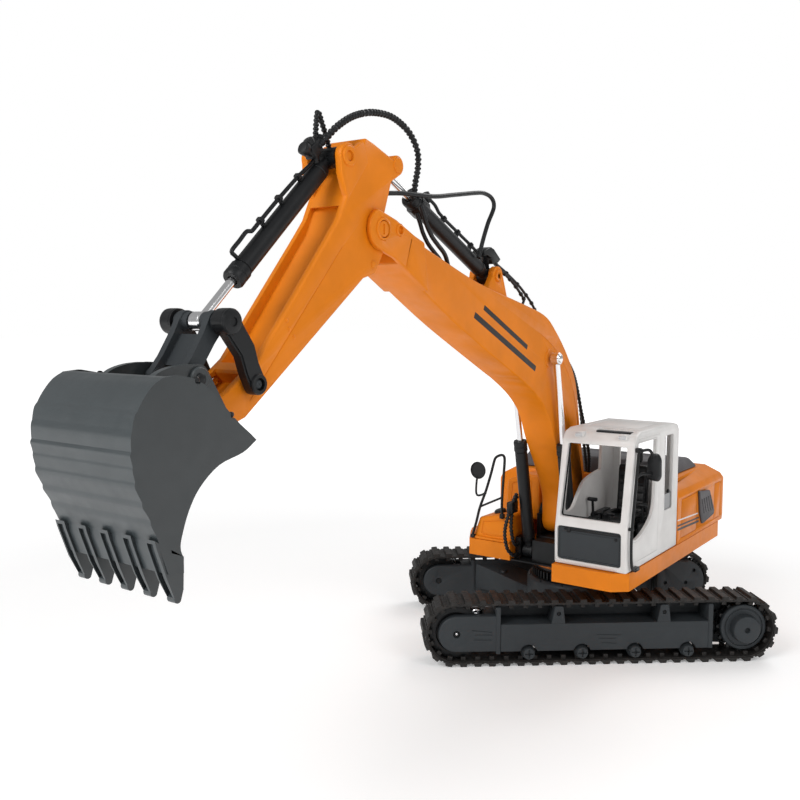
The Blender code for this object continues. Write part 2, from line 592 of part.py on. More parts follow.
def stick():
    """Tapering box beam with lugs for both cylinders and round bosses at its pins."""
    outline = [(0.3661, 0.2003), (0.3780, 0.1965)] + arc(BUCKET_PIN, 0.0068, -120, 60, 10)
    outline += [(0.3760, 0.2120), (0.3578, 0.2250), (0.3083, 0.2826), (0.3013, 0.2911), (0.2860, 0.3210),
                (0.2800, 0.3325), (0.2573, 0.3245)]
    outline += arc(STICK_CYL_PIN, 0.0052, 60, 240, 8)
    outline += [(0.2591, 0.3130), (0.2652, 0.2960), (0.2600, 0.2900), (0.2600, 0.2850), (0.2668, 0.2753),
                (0.2731, 0.2655),
                (0.2828, 0.2628)]
    beam = prism(outline, -STICK_HALF, STICK_HALF)
    lug = [(0.2800, 0.3200), (0.2950, 0.3020)] + arc(BUCKET_CYL_BASE, 0.0062, -20, 130, 8)
    for side in (1, -1):
        beam = join(beam, prism(lug, *sorted((side * 0.0088, side * STICK_HALF))))
    beam = join(beam, cross_rod(BUCKET_CYL_BASE, 0.0020, -0.0100, 0.0100, 12))
    holes = [cross_rod(STICK_PIN, 0.0034, -0.03, 0.03, 16), cross_rod(BUCKET_PIN, 0.0029, -0.03, 0.03, 16),
             cross_rod(ROCKER_PIN, 0.0024, -0.03, 0.03, 12),
             cross_rod(STICK_CYL_PIN, 0.0088, -0.0040, 0.0040, 20)]
    trough = prism([(0.3550, 0.2200), (0.3620, 0.2280), (0.3110, 0.2880), (0.3010, 0.2960),
                    (0.2960, 0.2960),
                    (0.3020, 0.2850)], -0.0092, 0.0092)
    return cut(beam, trough, *holes)


def rocker(side):
    """Curved link from the stick to the cross pin, with a stub that turns in the stick."""
    middle = ((ROCKER_PIN[0] + CROSS_PIN[0]) / 2, (ROCKER_PIN[1] + CROSS_PIN[1]) / 2)
    step, length = toward(ROCKER_PIN, CROSS_PIN)
    lean = math.degrees(math.atan2(step.y, step.x))
    bow = Vector((-step.y, step.x)) * 0.0022
    half = 0.0048
    left = [(middle[0] + bow.x - step.y * half, middle[1] + bow.y + step.x * half)]
    right = [(middle[0] + bow.x + step.y * half, middle[1] + bow.y - step.x * half)]
    outline = arc(CROSS_PIN, 0.0056, lean - 80, lean + 95, 10) + left
    outline += arc(ROCKER_PIN, 0.0046, lean + 95, lean + 265, 10) + right
    plate = prism(outline, *sorted((side * 0.0140, side * 0.0185)))
    hub = cross_rod(CROSS_PIN, 0.0056, side * 0.0130, side * 0.0200, 20)
    return join(plate, hub, cross_rod(ROCKER_PIN, 0.0020, side * 0.0080, side * 0.0195, 12))


def tipping_link():
    """H-shaped link: two flanges and a web, with half a cross tube either side of the piston's eye."""
    step, length = toward(CROSS_PIN, LINK_PIN)
    lean = math.degrees(math.atan2(step.y, step.x))
    outline = arc(CROSS_PIN, 0.0046, lean + 90, lean + 270, 8) + arc(LINK_PIN, 0.0042, lean - 90, lean + 90,
                                                                     8)
    ends = [along(CROSS_PIN, LINK_PIN, d, o) for d, o in ((0.0110, -0.0012), (0.0215, -0.0012),
                                                          (0.0215, 0.0012),
                                                          (0.0110, 0.0012))]
    shape = join(prism(outline, -0.0108, 0.0108), cross_rod(CROSS_PIN, 0.0042, -0.0125, 0.0125, 20),
                 cross_rod(LINK_PIN, 0.0038, -0.0122, 0.0122, 16))
    web = prism([(p[0], p[2]) for p in ends], -0.0090, 0.0090)
    space = prism([(0.36, 0.20), (0.43, 0.20), (0.43, 0.26), (0.36, 0.26)], -0.0072, 0.0072)
    tubes = [cross_rod(CROSS_PIN, 0.0042, side * 0.0042, side * 0.0080, 20) for side in (1, -1)]
    return join(cut(shape, space), web, *tubes)


BUCKET_BACK = [(0.4250, 0.1467), (0.4318, 0.1622), (0.4375, 0.1818), (0.4406, 0.1932), (0.4416, 0.2041),
               (0.4387, 0.2128),
               (0.4322, 0.2192), (0.4229, 0.2220), (0.4165, 0.2190), (0.4040, 0.2035), (0.3900, 0.1920)]


def offset_line(points, distance):
    """The same open line moved sideways by distance, to the left of its direction."""
    moved = []
    for i, point in enumerate(points):
        before, after = points[max(i - 1, 0)], points[min(i + 1, len(points) - 1)]
        step = Vector((after[0] - before[0], after[1] - before[1])).normalized()
        moved.append((point[0] - step.y * distance, point[1] + step.x * distance))
    return moved


def bucket():
    """Folded shell between two side plates, five teeth, and the ears that carry both pins."""
    wall = 0.0022
    shell = prism(BUCKET_BACK + list(reversed(offset_line(BUCKET_BACK, wall))), -BUCKET_HALF + 0.001,
                  BUCKET_HALF - 0.001)
    side_plate = [(0.4182, 0.1494), (0.4250, 0.1467), (0.4318, 0.1622), (0.4375, 0.1818), (0.4406, 0.1932),
                  (0.4416, 0.2041), (0.4387, 0.2128), (0.4322, 0.2192), (0.4229, 0.2220), (0.4133, 0.2226),
                  (0.4059, 0.2198),
                  (0.3972, 0.2122), (0.3778, 0.1946), (0.3879, 0.1912), (0.4016, 0.1861), (0.4131, 0.1780),
                  (0.4183, 0.1672), (0.4196, 0.1551)]
    for side in (1, -1):
        shell = join(shell, prism(side_plate, *sorted((side * (BUCKET_HALF - PLATE), side * BUCKET_HALF))))
    tooth = [(0.4172, 0.1545), (0.4196, 0.1352), (0.4216, 0.1352), (0.4290, 0.1560), (0.4262, 0.1580)]
    for number in range(-2, 3):
        middle = number * (BUCKET_HALF - 0.0030) / 2
        shell = join(shell, prism(tooth, middle - 0.0030, middle + 0.0030))
    ear = arc(LINK_PIN, 0.0058, 80, 150, 6) + arc(BUCKET_PIN, 0.0064, 130, 290, 10)
    ear += [(0.3960, 0.1955), (0.4040, 0.2022), (0.4178, 0.2150), (0.4194, 0.2192), (0.4150, 0.2226),
            (0.4080, 0.2243), (0.4010, 0.2248)]
    for side in (1, -1):
        shell = join(shell, prism(ear, *sorted(side * y for y in EAR_Y)))
    shell = cut(shell, cross_rod(LINK_PIN, 0.0024, -0.02, 0.02, 12))
    return join(shell, cross_rod(BUCKET_PIN, 0.0025, -0.0140, 0.0140, 14))


# --- Hoses --------------------------------------------------------------------------------------
def hose_loop_to_stick():
    """Ribbed hose that stands up in a loop between the boom cylinders' block and the stick."""
    return tube([(0.2366, 0.0080, 0.3085), (0.2325, 0.0080, 0.3130), (0.2300, 0.0090, 0.3185),
                 (0.2291, 0.0100, 0.3283),
                 (0.2329, 0.0100, 0.3373), (0.2413, 0.0100, 0.3443), (0.2539, 0.0100, 0.3484),
                 (0.2701, 0.0100, 0.3486),
                 (0.2842, 0.0090, 0.3439), (0.2947, 0.0080, 0.3375), (0.3015, 0.0070, 0.3310)], 0.0021,
                0.0050)


def hose_small_loop():
    return tube([(0.2975, -0.0060, 0.3320), (0.2990, -0.0060, 0.3380), (0.3025, -0.0050, 0.3440),
                 (0.3060, -0.0040, 0.3425),
                 (0.3060, -0.0040, 0.3350)], 0.0014, 0.0030)


def hose_over_cylinder():
    """Runs back above the stick cylinder, then turns down behind its foot to the boom."""
    return tube([(0.2370, 0.0, 0.3195), (0.2270, 0.0, 0.3195), (0.2155, 0.0, 0.3190), (0.1952, 0.0, 0.3195),
                 (0.1734, 0.0, 0.3215), (0.1562, 0.0, 0.3226), (0.1454, 0.0, 0.3207), (0.1430, 0.0, 0.3155),
                 (0.1450, 0.0, 0.3062), (0.1470, 0.0, 0.2990)], 0.0013, 0.0035)


def hose_under_cylinder():
    return tube([(0.2328, 0.0, 0.3040), (0.2309, 0.0, 0.2991), (0.2252, 0.0, 0.2925), (0.2163, 0.0, 0.2870),
                 (0.2072, 0.0, 0.2815)], 0.0013, 0.0030)


def hose_pair_on_boom():
    """Two hoses from a small distributor block down the boom's back."""
    near = tube([(0.1385, 0.0030, 0.2815), (0.1315, 0.0040, 0.2780), (0.1175, 0.0050, 0.2695),
                 (0.1069, 0.0060, 0.2607),
                 (0.1027, 0.0060, 0.2562)], 0.0013, 0.0040)
    far = tube([(0.1385, -0.0020, 0.2870), (0.1315, -0.0020, 0.2858), (0.1131, -0.0020, 0.2790),
                (0.0928, -0.0020, 0.2705),
                (0.0786, -0.0020, 0.2600), (0.0679, -0.0020, 0.2512), (0.0600, -0.0020, 0.2400)], 0.0013,
               0.0040)
    return join(block((0.1345, -0.0040, 0.2745), (0.1400, 0.0050, 0.2890)), near, far)


def hose_pair_to_house():
    """Two hoses that leave the boom's back and drop behind the cab into the engine housing."""
    near = tube([(0.0330, 0.0040, 0.2080), (0.0250, 0.0050, 0.2050), (0.0172, 0.0060, 0.1871),
                 (0.0100, 0.0060, 0.1718),
                 (0.0030, 0.0060, 0.1580), (-0.0080, 0.0050, 0.1400), (-0.0140, 0.0040, 0.1214)], 0.0013,
                0.0045)
    far = tube([(0.0300, -0.0020, 0.2080), (0.0200, -0.0020, 0.2120), (0.0040, -0.0020, 0.1987),
                (-0.0050, -0.0020, 0.1831),
                (-0.0103, -0.0020, 0.1671), (-0.0130, -0.0010, 0.1450), (-0.0142, 0.0016, 0.1214)], 0.0013,
               0.0045)
    return join(near, far)


def hose_loops_at_foot():
    """Two short loops from the far boom cylinder down to the boom's bracket."""
    outer = tube([(0.0600, -0.0236, 0.1082), (0.0629, -0.0260, 0.0976), (0.0656, -0.0280, 0.0854),
                  (0.0644, -0.0260, 0.0734),
                  (0.0590, -0.0236, 0.0672), (0.0518, -0.0236, 0.0672)], 0.0014, 0.0035)
    inner = tube([(0.0560, -0.0240, 0.1082), (0.0593, -0.0250, 0.0973), (0.0605, -0.0250, 0.0880),
                  (0.0593, -0.0240, 0.0790),
                  (0.0560, -0.0236, 0.0745), (0.0518, -0.0236, 0.0745)], 0.0014, 0.0035)
    strap = block((0.0555, -0.0275, 0.0920), (0.0655, -0.0235, 0.0945))
    return join(outer, inner, strap)


def build_hoses(house, boom_foot, stick_pivot):
    place("hose_loop_to_stick", hose_loop_to_stick(), BLACK, boom_foot)
    place("hose_small_loop", hose_small_loop(), BLACK, stick_pivot)
    place("hose_over_cylinder", hose_over_cylinder(), BLACK, boom_foot)
    place("hose_under_cylinder", hose_under_cylinder(), BLACK, boom_foot)
    place("hose_pair_on_boom", hose_pair_on_boom(), BLACK, boom_foot)
    place("hose_pair_to_house", hose_pair_to_house(), BLACK, house)
    place("hose_loops_at_foot", hose_loops_at_foot(), BLACK, house)


def build_arm(house):
    """The boom, stick and bucket with their cylinders, each hung on its own pivot."""
    def hinge(name, point, parent):
        return pivot(name, (point[0], 0.0, point[1]), parent)

    boom_foot = hinge("boom_foot", FOOT, house)
    cylinder_foot = hinge("boom_cylinder_foot", BOOM_CYL_BASE, house)
    stick_pivot = hinge("stick_pivot", STICK_PIN, boom_foot)
    stick_cylinder = hinge("stick_cylinder_foot", STICK_CYL_BASE, boom_foot)
    bucket_cylinder = hinge("bucket_cylinder_foot", BUCKET_CYL_BASE, stick_pivot)
    rocker_pivot = hinge("rocker_pivot", ROCKER_PIN, stick_pivot)
    cross_pivot = hinge("cross_pin", CROSS_PIN, rocker_pivot)
    bucket_pivot = hinge("bucket_pivot", BUCKET_PIN, stick_pivot)

    place("boom", boom(), ORANGE, boom_foot)
    place("stick_pin", cross_rod(STICK_PIN, 0.0030, -0.0165, 0.0165, 16), BLACK, boom_foot)
    for label, side in (("left", 1), ("right", -1)):
        place("boom_cylinder_" + label, barrel(BOOM_CYL_BASE, BOOM_CYL_PIN, 0.0860, 0.0045, 0.0049, 0.0026,
                                               side * CYL_Y), BLACK, cylinder_foot)
        place("boom_rod_" + label, piston_rod(BOOM_CYL_BASE, BOOM_CYL_PIN, 0.0360, 0.0022, side * CYL_Y,
                                              head=(side * 0.0124, side * 0.0210)), STEEL, cylinder_foot)
    place("stick_cylinder", barrel(STICK_CYL_BASE, STICK_CYL_PIN, 0.0930, 0.0045, 0.0050, 0.0025,
                                   rail=(0.0120, 0.0760, 0.0082)), BLACK, stick_cylinder)
    place("stick_rod", piston_rod(STICK_CYL_BASE, STICK_CYL_PIN, 0.0360, 0.0021), STEEL, stick_cylinder)
    place("stick", stick(), ORANGE, stick_pivot)
    place("bucket_cylinder", barrel(BUCKET_CYL_BASE, CROSS_PIN, 0.0900, 0.0047, 0.0052, 0.0025,
                                    eye_half=0.0070,
                                    rail=(0.0110, 0.0700, 0.0085)), BLACK, bucket_cylinder)
    place("bucket_rod", piston_rod(BUCKET_CYL_BASE, CROSS_PIN, 0.0400, 0.0021, eye_half=0.0034), STEEL,
          bucket_cylinder)
    place("rocker_left", rocker(1), SLATE, rocker_pivot)
    place("rocker_right", rocker(-1), SLATE, rocker_pivot)
    place("tipping_link", tipping_link(), SLATE, cross_pivot)
    place("bucket", bucket(), IRON, bucket_pivot)
    return boom_foot, stick_pivot


def main():
    for thing in list(bpy.data.objects):
        bpy.data.objects.remove(thing)
    build_undercarriage()
    house = build_house()
    boom_foot, stick_pivot = build_arm(house)
    build_hoses(house, boom_foot, stick_pivot)


main()
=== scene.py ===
"""Looks of the toy excavator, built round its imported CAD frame."""
import json
import math

import bmesh
import bpy
from mathutils import Matrix, Vector


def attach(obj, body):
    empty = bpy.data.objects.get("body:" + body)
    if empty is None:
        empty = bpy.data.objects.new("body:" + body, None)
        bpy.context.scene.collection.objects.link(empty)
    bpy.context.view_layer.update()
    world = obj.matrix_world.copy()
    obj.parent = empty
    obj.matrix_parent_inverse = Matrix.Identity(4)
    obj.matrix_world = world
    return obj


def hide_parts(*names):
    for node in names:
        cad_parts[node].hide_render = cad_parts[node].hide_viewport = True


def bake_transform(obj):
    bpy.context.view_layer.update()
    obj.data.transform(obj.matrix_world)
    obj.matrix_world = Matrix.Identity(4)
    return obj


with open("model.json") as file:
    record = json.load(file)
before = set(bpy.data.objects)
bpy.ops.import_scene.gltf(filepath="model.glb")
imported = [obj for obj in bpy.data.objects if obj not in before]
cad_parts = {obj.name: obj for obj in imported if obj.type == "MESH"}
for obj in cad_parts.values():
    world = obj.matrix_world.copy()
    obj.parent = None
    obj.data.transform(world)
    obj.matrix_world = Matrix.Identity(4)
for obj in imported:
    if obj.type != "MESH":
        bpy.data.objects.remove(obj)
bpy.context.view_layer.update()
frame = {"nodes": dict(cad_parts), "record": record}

# --- Driving dimensions, the same as the CAD's -------------------------------------------------
SLEW_X = -0.1515            # the house's slew axis, in the row frame
TRACK_TURN = -51.0          # degrees the tracks are turned under the house
HOUSE = Matrix.Translation((SLEW_X, 0.0, 0.0))
TRACKS = HOUSE @ Matrix.Rotation(math.radians(TRACK_TURN), 4, "Z")

AXLE_HALF, HUB_Z = 0.1025, 0.0235
BELT_TIP, BELT_PLATE, BELT_INSIDE = 0.0235, 0.0218, 0.0195
SHOES = 54
BELT_Y = (0.0500, 0.0760)
WHEEL_R = 0.0186
ROLLER_X = (0.0520, 0.0144, -0.0232, -0.0608)
ROLLER_Z, ROLLER_R = 0.0094, 0.0050
FRAME_Y = (0.0535, 0.0765)
BEAM_Z = (0.0108, 0.0303)
PLATE_TOP = 0.0424

DECK_Z = (0.0625, 0.0747)
DECK_TOP = 0.0750
HOUSE_HALF = 0.0745
CAB_Y = (0.0222, 0.0745)

BOOM_HALF, FORK_HALF, STICK_HALF = 0.0118, 0.0155, 0.0125
CYL_Y = 0.0170
FOOT = (0.0245, 0.0945)     # every pivot is (x, z) from the slew axis and the floor
BOOM_CYL_BASE, BOOM_CYL_PIN = (0.0455, 0.0690), (0.0755, 0.2144)
STICK_PIN = (0.2703, 0.2880)
STICK_CYL_BASE, STICK_CYL_PIN = (0.1421, 0.2687), (0.2536, 0.3220)
BUCKET_CYL_BASE, CROSS_PIN = (0.2944, 0.3214), (0.3800, 0.2420)
ROCKER_PIN, LINK_PIN, BUCKET_PIN = (0.3642, 0.2150), (0.3960, 0.2190), (0.3851, 0.2007)
BUCKET_HALF = 0.0310
EAR_Y = (0.0130, 0.0162)
GAP = 0.0004

bpy.context.scene.view_settings.view_transform = "Standard"


# --- Materials ---------------------------------------------------------------------------------
class Shader:
    """A Principled material and the few nodes that give it grain, mottling, bump and painted side shade."""

    def __init__(self, name, colour, roughness=0.45, metallic=0.0):
        self.material = bpy.data.materials.new(name)
        self.material.use_nodes = True
        self.tree = self.material.node_tree
        self.bsdf = self.tree.nodes["Principled BSDF"]
        self.colour = (*colour, 1.0)
        self.set("Base Color", self.colour)
        self.set("Roughness", roughness)
        self.set("Metallic", metallic)
        self.height = None

    def set(self, socket, value):
        self.bsdf.inputs[socket].default_value = value
        return self

    def node(self, kind, **values):
        made = self.tree.nodes.new(kind)
        for key, value in values.items():
            setattr(made, key, value)
        return made

    def join(self, out, into):
        self.tree.links.new(out, into)

    def noise(self, scale, detail=4.0, stretch=(1.0, 1.0, 1.0)):
        place = self.node("ShaderNodeTexCoord")
        mapping = self.node("ShaderNodeMapping")
        mapping.inputs["Scale"].default_value = stretch
        self.join(place.outputs["Object"], mapping.inputs["Vector"])
        made = self.node("ShaderNodeTexNoise")
        made.inputs["Scale"].default_value = scale
        made.inputs["Detail"].default_value = detail
        self.join(mapping.outputs["Vector"], made.inputs["Vector"])
        return made.outputs["Fac"]

    def ramp(self, source, low, high, start=0.35, end=0.65):
        made = self.node("ShaderNodeMapRange")
        made.inputs["From Min"].default_value = start
        made.inputs["From Max"].default_value = end
        made.inputs["To Min"].default_value = low
        made.inputs["To Max"].default_value = high
        self.join(source, made.inputs["Value"])
        return made.outputs["Result"]

    def mottle(self, scale, darker, lighter, detail=5.0):
        """Colour drifts between two multiples of the base colour."""
        mix = self.node("ShaderNodeMix", data_type="RGBA")
        for socket, share in ((6, darker), (7, lighter)):
            mix.inputs[socket].default_value = tuple(min(1.0, c * share) for c in self.colour[:3]) + (1.0,)
        self.join(self.ramp(self.noise(scale, detail), 0.0, 1.0), mix.inputs[0])
        self.join(mix.outputs[2], self.bsdf.inputs["Base Color"])
        return self

    def paint_side_shade(self, share):
        """Painted shade: faces that look sideways (along y) take share of the colour, as if less lit."""
        facing = self.node("ShaderNodeSeparateXYZ")
        self.join(self.node("ShaderNodeTexCoord").outputs["Normal"], facing.inputs[0])
        size = self.node("ShaderNodeMath", operation="ABSOLUTE")
        self.join(facing.outputs["Y"], size.inputs[0])
        mix = self.node("ShaderNodeMix", data_type="RGBA", blend_type="MULTIPLY")
        mix.inputs[7].default_value = (share, share, share, 1.0)
        self.join(self.ramp(size.outputs[0], 0.0, 1.0, 0.80, 0.97), mix.inputs[0])
        self.join(self.bsdf.inputs["Base Color"].links[0].from_socket, mix.inputs[6])
        self.join(mix.outputs[2], self.bsdf.inputs["Base Color"])
        return self

    def vary_roughness(self, scale, low, high):
        self.join(self.ramp(self.noise(scale), low, high, 0.3, 0.7), self.bsdf.inputs["Roughness"])
        return self

    def bump(self, scale, distance, detail=3.0, stretch=(1.0, 1.0, 1.0)):
        made = self.node("ShaderNodeBump")
        made.inputs["Distance"].default_value = distance
        self.join(self.noise(scale, detail, stretch), made.inputs["Height"])
        if self.height:
            self.join(self.height, made.inputs["Normal"])
        self.height = made.outputs["Normal"]
        self.join(self.height, self.bsdf.inputs["Normal"])
        return self


def moulded(name, colour, roughness, grain=0.00002, coat=0.0, shine=0.3, sides=1.0):
    """Injection-moulded plastic: faint mottling, a fine spark-eroded grain and uneven gloss."""
    made = Shader(name, colour, roughness)
    made.mottle(55.0, 0.95, 1.05).vary_roughness(160.0, roughness - 0.05, roughness + 0.07)
    # sides below 1 paints shade on faces that look along y
    if sides < 1.0:
        made.paint_side_shade(sides)
    made.bump(2600.0, grain).bump(70.0, grain * 2)
    made.set("Coat Weight", coat)
    made.set("Specular IOR Level", shine)
    made.set("Coat Roughness", 0.25)
    return made.material


def rubber(name, colour):
    """Dusty rubber: blotched, matt and slightly pitted."""
    made = Shader(name, colour, 0.75)
    made.mottle(220.0, 0.7, 1.5).vary_roughness(300.0, 0.55, 0.80).bump(1500.0, 0.00006).bump(240.0, 0.00006)
    return made.material


def polished(name, colour, roughness):
    made = Shader(name, colour, roughness, 1.0)
    made.vary_roughness(700.0, roughness * 0.7, roughness * 1.5).bump(1800.0, 0.000006, stretch=(1.0, 1.0, 0.15))
    return made.material



ORANGE = moulded("orange_plastic", (0.72, 0.198, 0.005), 0.42, shine=0.20)
WHITE = moulded("white_plastic", (0.69, 0.675, 0.660), 0.34, grain=0.000006, coat=0.05)
SLATE = moulded("slate_plastic", (0.029, 0.034, 0.038), 0.50, grain=0.00003)
# sides=0.55 is painted shade: the bucket's sideways faces (its cheeks) take 55% of the grey
IRON = moulded("bucket_grey", (0.042, 0.051, 0.055), 0.36, grain=0.00002, shine=0.6, sides=0.55)
BLACK = moulded("black_plastic", (0.0065, 0.0072, 0.0082), 0.40)
GREY = moulded("grey_plastic", (0.088, 0.083, 0.088), 0.60, grain=0.00004)
TREAD = rubber("track_rubber", (0.0105, 0.0088, 0.0078))
STEEL = polished("bright_steel", (0.80, 0.80, 0.81), 0.16)
CAST = moulded("cast_weight", (0.20, 0.20, 0.20), 0.70)
BOARD = moulded("circuit_board", (0.02, 0.20, 0.08), 0.50)
CELLS = moulded("battery_wrap", (0.05, 0.10, 0.35), 0.40)
INK = moulded("dark_print", (0.020, 0.017, 0.015), 0.42)
LAMP = moulded("lamp_lens", (0.52, 0.53, 0.54), 0.12, grain=0.000002, coat=0.6)
PANE = moulded("smoked_pane", (0.10, 0.105, 0.11), 0.14, grain=0.000002, coat=0.5)
MIRROR = polished("mirror_glass", (0.70, 0.72, 0.74), 0.08)
LOOKS = {"orange_plastic": ORANGE, "white_plastic": WHITE, "slate_plastic": SLATE, "bucket_grey": IRON,
         "black_plastic": BLACK, "grey_plastic": GREY, "track_rubber": TREAD, "bright_steel": STEEL,
         "cast_weight": CAST, "circuit_board": BOARD, "battery_wrap": CELLS}


# --- Shapes --------------------------------------------------------------------------------------
def link(data):
    thing = bpy.data.objects.new("shape", data)
    bpy.context.scene.collection.objects.link(thing)
    return thing


def from_bmesh(bm):
    bmesh.ops.recalc_face_normals(bm, faces=bm.faces)
    mesh = bpy.data.meshes.new("shape")
    bm.to_mesh(mesh)
    bm.free()
    return link(mesh)


def as_mesh(thing):
    """The thing with its modifiers or curve turned into a plain mesh."""
    graph = bpy.context.evaluated_depsgraph_get()
    made = link(bpy.data.meshes.new_from_object(thing.evaluated_get(graph)))
    bpy.data.objects.remove(thing)
    return made


def arc(centre, radius, start, end, steps=14):
    """Points on a circle, from the start angle to the end angle in degrees."""
    angles = [math.radians(start + (end - start) * i / steps) for i in range(steps + 1)]
    return [(centre[0] + radius * math.cos(a), centre[1] + radius * math.sin(a)) for a in angles]


def spline(points, steps=5):
    """Catmull-Rom points through the given ones, in two or three dimensions."""
    points = [Vector(p) for p in points]
    ends = [2 * points[0] - points[1]] + points + [2 * points[-1] - points[-2]]
    route = []
    for a, b, c, d in zip(ends, ends[1:], ends[2:], ends[3:]):
        for i in range(steps):
            t = i / steps
            route.append(0.5 * (2 * b + (c - a) * t + (2 * a - 5 * b + 4 * c - d) * t * t
                                + (3 * b - a - 3 * c + d) * t ** 3))
    return [tuple(p) for p in route + [points[-1]]]


def beside(points, distance):
    """An open line moved sideways by distance, to the left of its direction."""
    moved = []
    for i, point in enumerate(points):
        before, after = points[max(i - 1, 0)], points[min(i + 1, len(points) - 1)]
        step = Vector((after[0] - before[0], after[1] - before[1])).normalized()
        moved.append((point[0] - step.y * distance, point[1] + step.x * distance))
    return moved


AXES = {"x": lambda a, b, d: (d, a, b), "y": lambda a, b, d: (a, d, b), "z": lambda a, b, d: (a, b, d)}


def prism(outline, low, high, across="y"):
    """A flat outline pushed through from low to high along one axis."""
    put = AXES[across]
    bm = bmesh.new()
    corners = [bm.verts.new(put(a, b, low)) for a, b in outline]
    edges = [bm.edges.new((corners[i - 1], corners[i])) for i in range(len(corners))]
    made = bmesh.ops.triangle_fill(bm, edges=edges, use_beauty=True)
    faces = [g for g in made["geom"] if isinstance(g, bmesh.types.BMFace)]
    grown = bmesh.ops.extrude_face_region(bm, geom=faces)
    moved = [g for g in grown["geom"] if isinstance(g, bmesh.types.BMVert)]
    bmesh.ops.translate(bm, verts=moved, vec=put(0.0, 0.0, high - low))
    bmesh.ops.dissolve_limit(bm, angle_limit=0.002, verts=bm.verts, edges=bm.edges)
    return from_bmesh(bm)


def pair(outline, inner, outer):
    """The same plate on the left and on the right."""
    return [prism(outline, *sorted((side * inner, side * outer))) for side in (1, -1)]


def block(low, high):
    outline = [(low[0], low[1]), (high[0], low[1]), (high[0], high[1]), (low[0], high[1])]
    return prism(outline, low[2], high[2], "z")


def turned(start, end, profile, sides=40):
    """A lathe shape: (share of the way from start to end, radius) pairs spun round that line."""
    start, end = Vector(start), Vector(end)
    reach = end - start
    turn = reach.to_track_quat("Z", "Y").to_matrix()
    bm = bmesh.new()
    rings = []
    for share, radius in profile:
        centre = start + reach * share
        ring = []
        for i in range(sides):
            angle = 2 * math.pi * i / sides
            spoke = Vector((radius * math.cos(angle), radius * math.sin(angle), 0.0))
            ring.append(bm.verts.new(centre + turn @ spoke))
        rings.append(ring)
    for a, b in zip(rings, rings[1:]):
        for i in range(sides):
            bm.faces.new((a[i - 1], a[i], b[i], b[i - 1]))
    bm.faces.new(rings[0])
    bm.faces.new(list(reversed(rings[-1])))
    return from_bmesh(bm)


def rod(start, end, radius, sides=32, end_radius=None):
    return turned(start, end, [(0.0, radius), (1.0, radius if end_radius is None else end_radius)], sides)


def cross_rod(point, radius, low, high, sides=32):
    """A bar along y through an (x, z) point."""
    return rod((point[0], low, point[1]), (point[0], high, point[1]), radius, sides)


def hose(points, radius, rib=0.0, pitch=0.0020, sides=14):
    """A round hose swept along a smooth route, ribbed if rib is given."""
    dense = [Vector(p) for p in spline(points, 40)]
    gap = pitch / 4 if rib else pitch
    route, carried = [dense[0]], 0.0
    for a, b in zip(dense, dense[1:]):
        carried += (b - a).length
        if carried >= gap:
            route.append(b)
            carried = 0.0
    bm = bmesh.new()
    side = (route[1] - route[0]).orthogonal().normalized()
    rings = []
    for i, point in enumerate(route):
        ahead = (route[min(i + 1, len(route) - 1)] - route[max(i - 1, 0)]).normalized()
        side = (side - ahead * side.dot(ahead)).normalized()
        other = ahead.cross(side)
        thick = radius + (rib if i % 4 in (1, 2) else 0.0)
        rings.append([bm.verts.new(point + thick * (math.cos(2 * math.pi * k / sides) * side
                                                    + math.sin(2 * math.pi * k / sides) * other))
                      for k in range(sides)])
    for a, b in zip(rings, rings[1:]):
        for k in range(sides):
            bm.faces.new((a[k - 1], a[k], b[k], b[k - 1]))
    bm.faces.new(rings[0])
    bm.faces.new(list(reversed(rings[-1])))
    return from_bmesh(bm)


def boolean(base, others, operation):
    for other in others:
        step = base.modifiers.new("join", "BOOLEAN")
        step.solver = "EXACT"
        step.operation = operation
        step.object = other
        base = as_mesh(base)
        bpy.data.objects.remove(other)
    return base


def join(base, *others):
    return boolean(base, others, "UNION")


def cut(base, *others):
    return boolean(base, others, "DIFFERENCE")


def overlap_of(base, *others):
    return boolean(base, others, "INTERSECT")


def gather(shapes):
    """Separate closed shapes put into one mesh without a Boolean."""
    bm = bmesh.new()
    for shape in shapes:
        bm.from_mesh(shape.data)
        bpy.data.objects.remove(shape)
    mesh = bpy.data.meshes.new("shape")
    bm.to_mesh(mesh)
    bm.free()
    return link(mesh)


def rounded(shape, width, segments=3, angle=30.0):
    """The shape with its edges rounded now, before anything is cut from it."""
    return as_mesh(soften(shape, width, segments, angle))


def soften(piece, width, segments=2, angle=32.0):
    """Rounded edges with clean shading on the flat faces between them."""
    step = piece.modifiers.new("edges", "BEVEL")
    step.width = width
    step.segments = segments
    step.limit_method = "ANGLE"
    step.angle_limit = math.radians(angle)
    step.harden_normals = True
    return piece


def toward(start, end):
    step = Vector((end[0] - start[0], end[1] - start[1]))
    return step.normalized(), step.length


def along(start, end, distance, offset=0.0, y=0.0):
    """A point that far from start towards end, moved offset to the upper left of that line."""
    step, _ = toward(start, end)
    return (start[0] + step.x * distance - step.y * offset, y, start[1] + step.y * distance + step.x * offset)


def dress(name, shape, look, space=HOUSE, edge=0.0003, segments=2):
    """Names a finished shape, moves it to the row frame and gives it rounded edges and its material."""
    shape.data.transform(space)
    shape.name = shape.data.name = name
    shape.data.materials.clear()
    shape.data.materials.append(look)
    shape.data.shade_smooth()
    if edge:
        soften(shape, edge, segments)
    else:
        shape.data.set_sharp_from_angle(angle=math.radians(35))
    return shape


def piece(name, shape, look, body, nodes=(), space=HOUSE, edge=0.0003, segments=2):
    """A dressed shape that rides on a body and stands for the CAD nodes it covers."""
    dress(name, shape, look, space, edge, segments)
    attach(shape, body)
    if nodes:
        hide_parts(*nodes)
    return shape


